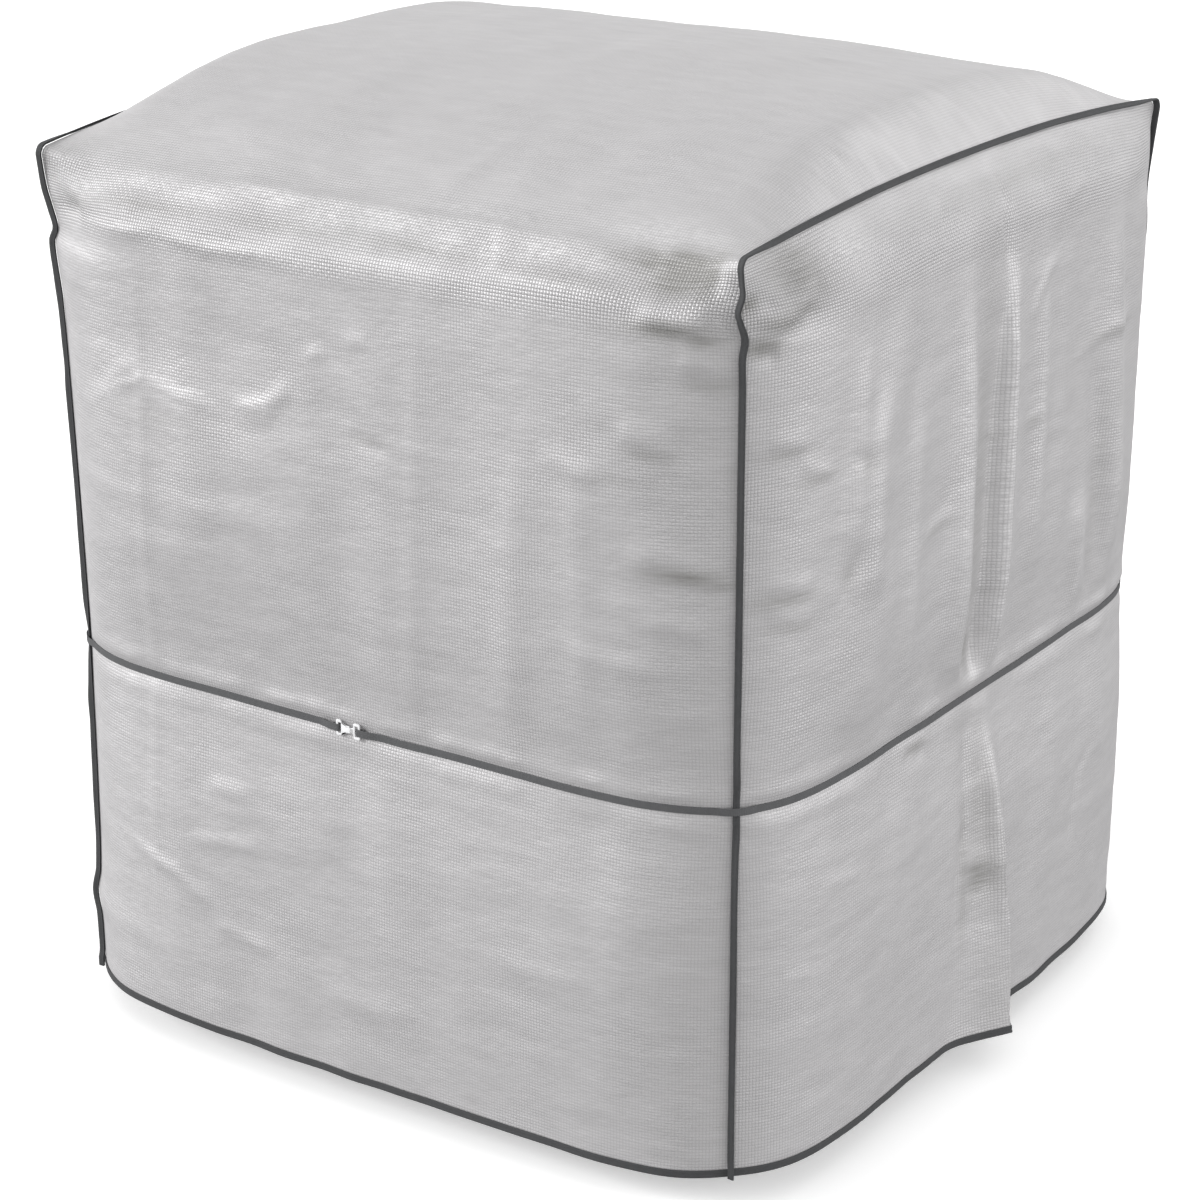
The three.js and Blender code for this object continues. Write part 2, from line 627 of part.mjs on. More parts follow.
// A tape folded round the hem of one panel: out over the face, under the edge and up inside.
function hemBinding(sheet, row, nextRow) {
  const count = sheet.grid[row].length;
  const endIn = 0.6;
  const stations = sheet.grid[row].map((point, j) => {
    const share = (hemTape.height - point.z) / (sheet.grid[nextRow][j].z - point.z);
    const out = sheet.normals[row][j].clone().setZ(0).normalize();
    return {
      out,
      face: point,
      back: sheet.inner[row][j],
      faceTop: point.clone().lerp(sheet.grid[nextRow][j], share),
      backTop: sheet.inner[row][j].clone().lerp(sheet.inner[nextRow][j], share),
    };
  });
  const section = (at, off, bottom) => [
    at.backTop.clone().addScaledVector(at.out, -off).setZ(hemTape.height),
    at.back.clone().addScaledVector(at.out, -off).setZ(bottom),
    at.face.clone().addScaledVector(at.out, off).setZ(bottom),
    at.faceTop.clone().addScaledVector(at.out, off).setZ(hemTape.height),
  ];
  const outer = stations.map((at) => section(at, cloth.gap + hemTape.thickness, 0));
  const inner = stations.map((at) => section(at, cloth.gap, hemTape.thickness));
  for (const grid of [outer, inner]) {
    for (const [end, next] of [[0, 1], [count - 1, count - 2]]) {
      grid[end] = grid[end].map((p, k) => {
        const inward = grid[next][k].clone().sub(p);
        return p.clone().addScaledVector(inward, endIn / inward.length());
      });
    }
  }
  return solidBetween(outer, inner);
}

// The strap's path round the waist, as points on the cloth, the direction out of it and how far
// off it the webbing passes: near the seams it climbs over the fins.
function waistPath() {
  const row = heights.findIndex((z) => z > waist.height);
  const at = (sheet, line, column) => {
    const upper = sheet.grid[line][column];
    const lower = sheet.grid[line + (line < heights.length ? -1 : 1)][column];
    return {
      point: upper.clone().lerp(lower, 0.5).setZ(waist.height),
      out: sheet.normals[line][column].clone().setZ(0).normalize(),
      off: strap.proud,
    };
  };
  const { strip, left, right } = sheets;
  const backRow = stripRows.length - 1 - row;
  const front = acrossStops.map((_, j) => at(strip, row, j));
  const back = acrossStops.map((_, j) => at(strip, backRow, j)).reverse();
  const rightWay = right.stops.map((_, j) => at(right, row, j));
  const leftWay = left.stops.map((_, j) => at(left, row, j)).reverse();
  for (const way of [rightWay, leftWay]) {
    way.shift();
    way.pop();
    const [first, last] = [way[0], way[way.length - 1]];
    first.off = strap.proud + strap.overFin;
    last.off = strap.proud + strap.overFin;
  }
  for (const way of [front, back]) {
    for (const k of [0, way.length - 1]) way[k].off = strap.proud + strap.overFin;
    for (const k of [1, way.length - 2]) way[k].off = strap.proud + strap.overFin / 2;
  }
  const middle = Math.floor(front.length / 2);
  const near = front[middle];
  const nearClasp = clasp.proud + clasp.plate + cloth.gap;
  const spot = (x, off) => ({ point: near.point.clone().setX(x), out: near.out, off });
  // The strap turns round a bar of the clasp and comes back behind itself.
  const hub = vec(0, near.point.y - clasp.proud - clasp.plate / 2, waist.height);
  const radius = clasp.plate / 2 + cloth.gap;
  const loop = (barEdge, towards) => {
    const turn = [0, 45, 90, 135, 180].map((degrees) => {
      const angle = THREE.MathUtils.degToRad(degrees);
      const out = vec(Math.sin(angle) * towards, -Math.cos(angle), 0);
      return { point: hub.clone().setX(barEdge), out, off: radius };
    });
    const last = turn[turn.length - 1];
    const end = hub.clone().setX(barEdge - towards * strap.turnedIn);
    return [...turn, { ...last, point: end }];
  };
  return [
    ...loop(clasp.right - clasp.bar, -1).reverse(),
    spot(clasp.right + 5, nearClasp),
    spot(clasp.right + 22, strap.proud),
    ...front.slice(middle + 1),
    ...rightWay,
    ...back,
    ...leftWay,
    ...front.slice(0, middle),
    spot(clasp.left - 22, strap.proud),
    spot(clasp.left - 5, nearClasp),
    ...loop(clasp.left + clasp.bar, 1),
  ];
}

function waistStrap() {
  const half = strap.width / 2;
  const side = (at, off) => {
    const point = at.point.clone().addScaledVector(at.out, off);
    return [-half, half].map((z) => point.clone().setZ(waist.height + z));
  };
  const path = waistPath();
  return solidBetween(
    path.map((at) => side(at, at.off + strap.thickness)),
    path.map((at) => side(at, at.off)),
  );
}

// The clasp's plates are cut in the plane of the front and stand off it by a distance.
const frontAtWaist = wallDepth(waist.height);
function plate(outline, holes, proud, thickness) {
  const shape = new THREE.Shape(outline.map(([x, z]) => new THREE.Vector2(x, z)));
  for (const hole of holes) shape.holes.push(new THREE.Path(hole.map(([x, z]) => new THREE.Vector2(x, z))));
  return new THREE.ExtrudeGeometry(shape, { depth: thickness, bevelEnabled: false })
    .rotateX(Math.PI / 2)
    .translate(0, -frontAtWaist - proud, waist.height);
}
const box = (left, right, half) => [[left, -half], [right, -half], [right, half], [left, half]];

// The half on the left: a ring that the strap turns round, and a body with a hole for the catch.
function claspRing() {
  const { left, halfHeight, bar, slot, body, catchHole } = clasp;
  const slotLeft = left + bar;
  const slotRight = slotLeft + slot.width;
  const upper = [
    [body.end - 1, body.halfHeight],
    [slotRight + 5, body.halfHeight],
    [slotRight + 1.2, body.halfHeight + 1.6],
    [slotRight - 0.6, halfHeight],
    [left + 1, halfHeight],
    [left, halfHeight - 1],
  ];
  const outline = [
    [body.end, body.halfHeight - 1],
    ...upper,
    ...upper.map(([x, z]) => [x, -z]).reverse(),
    [body.end, 1 - body.halfHeight],
  ];
  const holes = [
    box(slotLeft, slotRight, slot.halfHeight),
    box(catchHole.left, catchHole.right, catchHole.halfHeight),
  ];
  return plate(outline, holes, clasp.proud, clasp.plate);
}

// The half on the right: a ring for the strap, a neck, and a tongue that passes in front of the
// other half and drops a nib into its hole.
function claspHook() {
  const { right, halfHeight, bar, slot, neck, tongue, nib } = clasp;
  const slotRight = right - bar;
  const slotLeft = slotRight - slot.width;
  const ringLeft = slotLeft - 1.7;
  const upper = [
    [right, halfHeight - 1],
    [right - 1, halfHeight],
    [ringLeft + 1, halfHeight],
    [ringLeft, halfHeight - 1],
    [ringLeft, neck.halfHeight + 2],
    [ringLeft - 1.4, neck.halfHeight],
    [neck.end, neck.halfHeight],
  ];
  const outline = [...upper, ...upper.map(([x, z]) => [x, -z]).reverse()];
  const front = clasp.proud + clasp.plate + cloth.gap;
  const pieces = [
    plate(outline, [box(slotLeft, slotRight, slot.halfHeight)], clasp.proud, clasp.plate),
    plate(box(neck.end, tongue.right, neck.halfHeight), [], clasp.proud, front + clasp.plate - clasp.proud),
    plate(box(tongue.left, tongue.right, neck.halfHeight), [], front, clasp.plate),
    plate(box(nib.left, nib.right, nib.halfHeight), [], front - nib.depth, nib.depth + clasp.plate / 2),
  ];
  return joined(pieces);
}

const wasm = await Module();
wasm.setup();

function joined(geometries) {
  const solids = geometries.map((geometry) => {
    geometry.deleteAttribute("normal");
    geometry.deleteAttribute("uv");
    const merged = mergeVertices(geometry);
    return new wasm.Manifold(
      new wasm.Mesh({
        numProp: 3,
        vertProperties: merged.attributes.position.array,
        triVerts: new Uint32Array(merged.index.array),
      }),
    );
  });
  const mesh = solids.reduce((whole, solid) => whole.add(solid)).getMesh();
  const positions = new THREE.BufferAttribute(mesh.vertProperties, 3);
  const result = new THREE.BufferGeometry().setAttribute("position", positions);
  return result.setIndex(new THREE.BufferAttribute(mesh.triVerts, 1));
}

const cover = new THREE.Group();
for (const [name, sheet] of [
  ["front_top_back_panel", sheets.strip],
  ["left_panel", sheets.left],
  ["right_panel", sheets.right],
]) {
  cover.add(named(name, solidBetween(sheet.grid, sheet.inner), clothMaterial));
}
for (const [name, steps] of Object.entries(seamLines)) {
  cover.add(named(name + "_seam_binding", seamBinding(steps), tapeMaterial));
}
const hems = [
  { name: "front", sheet: sheets.strip, row: 0, above: 1 },
  { name: "back", sheet: sheets.strip, row: stripRows.length - 1, above: stripRows.length - 2 },
  { name: "left", sheet: sheets.left, row: 0, above: 1 },
  { name: "right", sheet: sheets.right, row: 0, above: 1 },
];
for (const hem of hems) {
  const tape = hemBinding(hem.sheet, hem.row, hem.above);
  cover.add(named(hem.name + "_hem_binding", tape, tapeMaterial));
}
cover.add(named("waist_strap", waistStrap(), webbingMaterial));
cover.add(named("clasp_ring", claspRing(), claspMaterial));
cover.add(named("clasp_hook", claspHook(), claspMaterial));

// The middle of the top's underside, where the cover rests on what it covers, is the origin.
const seat = sheets.strip.inner[(stripRows.length - 1) / 2][(acrossStops.length - 1) / 2];
cover.position.z = -seat.z;

export default cover;
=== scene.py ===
# A fitted cover for an outdoor air conditioner, hung empty. One woven strip makes the front, the
# top and the back, two arched panels make the sides. The seams and hems are bound with folded
# tape, and a webbing strap goes round the waist and closes with a small clasp.
import json
import math
import bpy
import numpy as np
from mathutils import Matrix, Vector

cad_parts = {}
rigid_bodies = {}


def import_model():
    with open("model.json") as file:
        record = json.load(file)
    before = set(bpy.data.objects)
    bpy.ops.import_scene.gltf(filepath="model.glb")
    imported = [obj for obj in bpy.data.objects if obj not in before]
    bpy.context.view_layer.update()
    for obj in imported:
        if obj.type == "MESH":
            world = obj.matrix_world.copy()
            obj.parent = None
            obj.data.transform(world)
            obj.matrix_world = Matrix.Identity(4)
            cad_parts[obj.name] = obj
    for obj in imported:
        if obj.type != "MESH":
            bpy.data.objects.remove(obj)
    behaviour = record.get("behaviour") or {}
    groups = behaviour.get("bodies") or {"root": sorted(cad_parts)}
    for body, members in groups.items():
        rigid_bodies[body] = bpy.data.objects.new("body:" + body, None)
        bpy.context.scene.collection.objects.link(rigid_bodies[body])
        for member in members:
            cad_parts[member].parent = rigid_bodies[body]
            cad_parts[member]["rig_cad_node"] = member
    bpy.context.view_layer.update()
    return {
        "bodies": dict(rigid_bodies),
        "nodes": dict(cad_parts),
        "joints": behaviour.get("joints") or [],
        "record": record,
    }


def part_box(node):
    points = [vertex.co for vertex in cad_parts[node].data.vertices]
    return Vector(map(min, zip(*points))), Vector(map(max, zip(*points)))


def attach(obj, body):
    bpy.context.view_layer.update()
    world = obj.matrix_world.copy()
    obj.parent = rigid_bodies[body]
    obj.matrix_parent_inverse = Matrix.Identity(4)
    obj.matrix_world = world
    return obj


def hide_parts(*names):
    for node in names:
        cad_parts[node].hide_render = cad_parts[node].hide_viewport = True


print("loading the frame")
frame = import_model()
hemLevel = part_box("front_hem_binding")[0][2]
mm = 0.001

camera = {
    "place": (1.8009, -2.6804, 0.6004),
    "target": (-0.0189, 0, -0.5956),
    "lens": 96.47,
    "sensor": 36,
}


def pointAt(thing, target):
    away = np.array(thing.location) - np.array(target)
    thing.rotation_euler = (
        math.acos(away[2] / np.linalg.norm(away)),
        0,
        math.atan2(away[1], away[0]) + math.pi / 2,
    )


def makeCamera():
    bpy.ops.object.camera_add(location=camera["place"])
    made = bpy.context.object
    made.name = "camera"
    made.data.lens = camera["lens"]
    made.data.sensor_width = camera["sensor"]
    made.data.clip_end = 200
    pointAt(made, camera["target"])
    bpy.context.scene.camera = made


makeCamera()
print("camera set")

# The cover's driving sizes, in millimetres; heights count from the hem
wall = {"halfWidth": 448, "halfDepth": 445, "leanOut": 3, "roundPower": 8}
waist = {"height": 378.4, "pullIn": 10, "reach": 90}
crown = {"height": 975, "crestHeight": 889, "crestDepth": 402, "power": 2.9, "sideDrop": 8}
shoulder = {"start": 800, "bendHeight": 853, "bendReach": 25}
arch = {"height": 919, "drop": 22, "power": 2.3, "halfWidth": 405, "spreadFrom": 430}
bevel = {"slope": math.tan(math.radians(50)), "shortest": 45, "softness": 0.5}
ear = {"radius": 9}

# The four upright seams: height, distance from the middle plane across and along, lean of the fin
seams = {
    "frontRight": [
        (0, 397.5, 395, 45), (200, 396.5, 394, 45), (330, 396, 393.5, 40), (378, 396, 393.5, 0),
        (430, 396.5, 394, 40), (600, 397.5, 395.5, 45), (780, 399, 398.5, 45), (810, 400, 401, 45),
        (826, 402, 401, 38), (840, 400.5, 404.5, 50), (852, 399.5, 407.5, 60), (867, 404, 407, 66),
        (880, 404.2, 409.6, 60), (897.3, 403.5, 412.5, 45),
    ],
    "frontLeft": [
        (0, 395, 395, 45), (60, 395.5, 395, 45), (88, 400.5, 394, 62), (116, 394, 395, 45),
        (200, 391.5, 394.5, 45), (330, 390.5, 394, 40), (378, 390, 394, 0), (430, 390.5, 394, 40),
        (607, 393.5, 396, 45), (742, 397, 398, 45), (800, 401.5, 400, 50), (816, 393.5, 402.5, 40),
        (838, 397, 405, 45), (858, 400.5, 408, 50), (897.3, 402.5, 412.5, 45),
    ],
    "backRight": [
        (0, 398, 396, 20), (50, 398, 396, 25), (74, 402, 396, 62), (98, 398.5, 396, 25),
        (200, 398, 395.5, 15), (330, 397, 395, 12), (378, 397, 395, 0), (430, 397.5, 395.5, 12),
        (620, 400, 398.5, 15), (690, 400.5, 400, 38), (760, 401.5, 401, 52), (810, 400.5, 401, 30),
        (850, 401.5, 406, 40), (897.3, 403.5, 412.5, 45),
    ],
    "backLeft": [
        (0, 397, 396, 40), (120, 395.5, 395, 46), (240, 396.5, 396, 38), (330, 396, 395, 35),
        (378, 396, 395, 0), (430, 396.5, 395.5, 36), (600, 398.5, 397, 44), (760, 400, 400, 42),
        (824, 403, 401.5, 50), (846, 399.5, 406, 44), (897.3, 403.5, 412.5, 45),
    ],
}
seamAcross, seamAlong, seamLean = 1, 2, 3

# Long folds of a wall: height, place along it, reach before and after the crest, how far proud
longFolds = [
    {"panel": "right", "sharp": 0.7, "rows": [
        (0, 15, 84, 26, 38), (90, 20, 76, 25, 29), (150, 17, 58, 23, 20),
        (225, 15, 40, 22, 12), (307, 12, 38, 24, 6), (371, 6, 34, 28, 0)]},
    {"panel": "right", "sharp": 0.8, "rows": [
        (386, 6, 14, 26, 0), (425, 14, 16, 34, 8), (500, 17, 16, 40, 8),
        (665, 17, 16, 42, 7), (750, 16, 18, 40, 5), (835, 24, 24, 34, 0)]},
    {"panel": "right", "sharp": 0.3, "rows": [
        (386, -40, 40, 18, 0), (430, -64, 50, 20, 8), (520, -70, 55, 24, 8),
        (660, -64, 45, 30, 6), (760, -70, 40, 36, 3), (840, -80, 40, 40, 0)]},
    {"panel": "right", "sharp": 0.5, "rows": [
        (386, -20, 22, 16, 0), (430, -12, 38, 14, -11), (520, -6, 48, 14, -9),
        (660, -6, 50, 15, -7), (800, -4, 46, 18, 0)]},
    {"panel": "right", "sharp": 0, "rows": [
        (388, -248, 70, 60, 0), (450, -244, 80, 66, 7), (600, -236, 76, 62, 7),
        (725, -218, 60, 54, 5), (850, -185, 46, 46, 0)]},
    {"panel": "right", "sharp": 0.2, "rows": [
        (388, 262, 50, 60, 0), (460, 264, 56, 62, 6), (620, 250, 52, 60, 6),
        (760, 234, 46, 52, 5), (862, 221, 40, 40, 0)]},
    {"panel": "left", "sharp": 0.2, "rows": [
        (0, -150, 90, 80, 8), (200, -140, 74, 70, 5), (371, -130, 60, 60, 0)]},
    {"panel": "left", "sharp": 0.3, "rows": [
        (386, 60, 50, 56, 0), (450, 70, 60, 60, 8), (640, 84, 64, 60, 6), (830, 96, 50, 50, 0)]},
    {"panel": "back", "sharp": 0.2, "rows": [
        (0, 120, 80, 90, 9), (210, 112, 70, 76, 5), (371, 100, 60, 60, 0)]},
    {"panel": "back", "sharp": 0.2, "rows": [
        (386, -140, 60, 60, 0), (460, -146, 70, 66, 7), (660, -156, 70, 66, 5),
        (830, -166, 50, 50, 0)]},
]

# Round hollows and bulges: panel, place along and up, reach along and up, how far proud
dents = {
    "front": [
        (342, 858, 50, 30, -10), (-352, 846, 44, 36, -9), (230, 868, 90, 26, 4), (-60, 866, 110, 26, 4),
        (-250, 862, 70, 24, 3),
    ],
    "right": [
        (-344, 860, 42, 34, -10), (350, 846, 46, 44, -8),
    ],
    "left": [
        (-350, 846, 46, 44, -8), (348, 846, 44, 44, -9),
    ],
    "back": [
        (340, 840, 50, 40, -10), (-340, 840, 50, 40, -10),
    ],
    "top": [
        (-150, -190, 120, 80, -4), (170, 60, 130, 110, 3),
    ],
}


def mix(a, b, f):
    return a + (b - a) * f


def ease(f):
    f = np.clip(f, 0, 1)
    return f * f * (3 - 2 * f)


def roundOff(radius, run):
    return radius - np.sqrt(np.maximum(radius**2 - run**2, 0))


def softMin(a, b, softness):
    bite = np.maximum(softness - np.abs(a - b), 0)
    return np.minimum(a, b) - bite**2 / (4 * softness)


def vectors(x, y, z):
    return np.stack(np.broadcast_arrays(x, y, z), axis=-1).astype(float)


def unit(v):
    return v / np.maximum(np.linalg.norm(v, axis=-1, keepdims=True), 1e-12)


def pathLengths(points):
    return np.concatenate([[0], np.cumsum(np.linalg.norm(np.diff(points, axis=0), axis=1))])


# A bell that is 1 where off is 0 and fades over its reach
def bell(off, reach):
    return np.exp(-((off / reach) ** 2))


# A smooth curve through one column of a table whose first column is the height
def readTable(rows, column, z):
    table = np.array(rows, dtype=float)
    knots, values = table[:, 0], table[:, column]
    last = len(knots) - 1
    down = np.maximum(np.arange(last + 1) - 1, 0)
    up = np.minimum(np.arange(last + 1) + 1, last)
    slopes = (values[up] - values[down]) / (knots[up] - knots[down])
    i = np.clip(np.searchsorted(knots, z, side="right") - 1, 0, last - 1)
    span = knots[i + 1] - knots[i]
    f = np.clip((z - knots[i]) / span, 0, 1)
    rise = values[i + 1] - values[i]
    bow = (slopes[i] * span - rise) * (1 - f) - (slopes[i + 1] * span - rise) * f
    return values[i] + rise * f + f * (1 - f) * bow


def cornerOf(sx, sy):
    return seams[("front" if sy < 0 else "back") + ("Left" if sx < 0 else "Right")]


earCut = ear["radius"] * (1 - math.sqrt(0.5))
sharpTop = cornerOf(1, -1)[-1][0]
earTop = sharpTop - earCut


# A seam point up a corner, to the middle of the round of its ear
def uprightPoint(sx, sy, z):
    rows = cornerOf(sx, sy)
    run = np.clip(z - (sharpTop - ear["radius"]), 0, ear["radius"])
    y = readTable(rows, seamAlong, z) - roundOff(ear["radius"], run)
    return vectors(sx * readTable(rows, seamAcross, z), sy * y, z)


# A seam point over a side's arch, from the front ear at -1 to the back ear at 1
def archPoint(sx, stop):
    front, back = cornerOf(sx, -1)[-1], cornerOf(sx, 1)[-1]
    sharpX = np.where(stop < 0, front[seamAcross], back[seamAcross])
    sharpY = np.where(stop < 0, front[seamAlong], back[seamAlong])
    y = stop * (sharpY - earCut)
    drop = arch["drop"] * np.abs(y / sharpY) ** arch["power"]
    run = np.maximum(np.abs(y) - (sharpY - ear["radius"]), 0)
    x = arch["halfWidth"] - (arch["halfWidth"] - sharpX) * np.abs(stop) ** 6
    return vectors(sx * x, y, arch["height"] - drop - roundOff(ear["radius"], run))


def pulled(z):
    return waist["pullIn"] * bell(z - waist["height"], waist["reach"])


def wallDepth(z):
    return wall["halfDepth"] + wall["leanOut"] * z / shoulder["start"] - pulled(z)


# The middle of the shoulder, from its foot at 0 to the crest at 1: distance and height
def shoulderMiddle(f):
    depth = wallDepth(shoulder["start"])
    bend, reach = shoulder["bendHeight"], shoulder["bendReach"]
    rise = bend - shoulder["start"]
    climb = crown["crestHeight"] - bend
    run = math.hypot(depth - crown["crestDepth"], climb)

    def past(w):
        onward = np.maximum(w, 0) / run
        return mix(depth, crown["crestDepth"], onward), bend + np.minimum(w, 0) + climb * onward

    way = f * (rise + run) - rise
    fromY, fromZ = past(-reach)
    toY, toZ = past(reach)
    g = np.clip((way + reach) / (2 * reach), 0, 1)
    curveY = (1 - g) ** 2 * fromY + 2 * g * (1 - g) * depth + g * g * toY
    curveZ = (1 - g) ** 2 * fromZ + 2 * g * (1 - g) * bend + g * g * toZ
    y, z = past(way)
    bent = np.abs(way) < reach
    return np.where(bent, curveY, y), np.where(bent, curveZ, z)


# Rows of the strip: the middle point, the two seam points and how much a row is shaped as the top
def wallRows(sy, z):
    f = np.clip((z - shoulder["start"]) / (earTop - shoulder["start"]), 0, 1)
    y, height = shoulderMiddle(f)
    y = np.where(f > 0, y, wallDepth(z))
    height = np.where(f > 0, height, z)
    return {
        "panel": ["front" if sy < 0 else "back"] * len(z),
        "middle": vectors(0 * z, sy * y, height),
        "left": uprightPoint(-1, sy, z),
        "right": uprightPoint(1, sy, z),
        "asTop": f,
        "drop": 0 * z,
    }


def topRows(stop):
    rise = 1 - np.abs(stop) ** crown["power"]
    return {
        "panel": ["top"] * len(stop),
        "middle": vectors(
            0 * stop, stop * crown["crestDepth"], mix(crown["crestHeight"], crown["height"], rise)
        ),
        "left": archPoint(-1, stop),
        "right": archPoint(1, stop),
        "asTop": 0 * stop + 1,
        "drop": crown["sideDrop"] * (1 - stop**2),
    }


def stripPoints(rows, across):
    end = np.where(across[None, :, None] < 0, rows["left"][:, None], rows["right"][:, None])
    middle = rows["middle"][:, None]
    reach = np.abs(across)[None, :]
    climb = np.hypot(middle[..., 1] - end[..., 1], middle[..., 2] - end[..., 2])
    ramp = np.maximum(climb / bevel["slope"], bevel["shortest"])
    asWall = 1 - reach ** wall["roundPower"]
    asTop = softMin(1, np.abs(end[..., 0]) * (1 - reach) / ramp, bevel["softness"])
    weight = mix(asWall, asTop, ease(rows["asTop"])[:, None])
    drop = rows["drop"][:, None] * reach**2 * weight
    return vectors(
        end[..., 0] * reach,
        mix(end[..., 1], middle[..., 1], weight),
        mix(end[..., 2], middle[..., 2], weight) - drop,
    )


def sidePoints(sx, seamHeight, stop):
    z0, s = np.asarray(seamHeight, float)[:, None], np.asarray(stop, float)[None, :]
    top = archPoint(sx, s)
    spread = np.clip((z0 - arch["spreadFrom"]) / (earTop - arch["spreadFrom"]), 0, 1)
    z = z0 + (top[..., 2] - earTop) * spread
    seam = np.where(s[..., None] < 0, uprightPoint(sx, -1, z0), uprightPoint(sx, 1, z0))
    toCorner = np.abs(s) ** wall["roundPower"]
    frame = mix(np.abs(top[..., 0]), np.abs(seam[..., 0]), toCorner)
    bulge = (wall["halfWidth"] - pulled(z) - frame) * (1 - toCorner)
    ramp = np.maximum(bulge * bevel["slope"], bevel["shortest"])
    weight = softMin(1, (top[..., 2] - z) / ramp, bevel["softness"])
    return vectors(sx * (frame + bulge * weight), np.abs(seam[..., 1]) * s, z)


# How hollow the flank before the crest of a sharp fold is; the flank after it is straight
hollowFlank = 1.9


def foldHeight(panel, along, up):
    out = np.zeros_like(along)
    for fold in longFolds:
        rows = fold["rows"]
        if fold["panel"] != panel:
            continue
        off = along - readTable(rows, 1, up)
        reach = np.where(off < 0, readTable(rows, 2, up), readTable(rows, 3, up))
        f = np.clip(np.abs(off) / reach, 0, 1)
        soft = 0.5 + 0.5 * np.cos(np.pi * f)
        pointed = (1 - f) ** np.where(off < 0, hollowFlank, 1)
        inside = (up >= rows[0][0]) & (up <= rows[-1][0])
        out += inside * readTable(rows, 4, up) * mix(soft, pointed, fold["sharp"])
    for a, u, reachAlong, reachUp, proud in dents[panel]:
        out += proud * np.exp(-(((along - a) / reachAlong) ** 2) - ((up - u) / reachUp) ** 2)
    return out


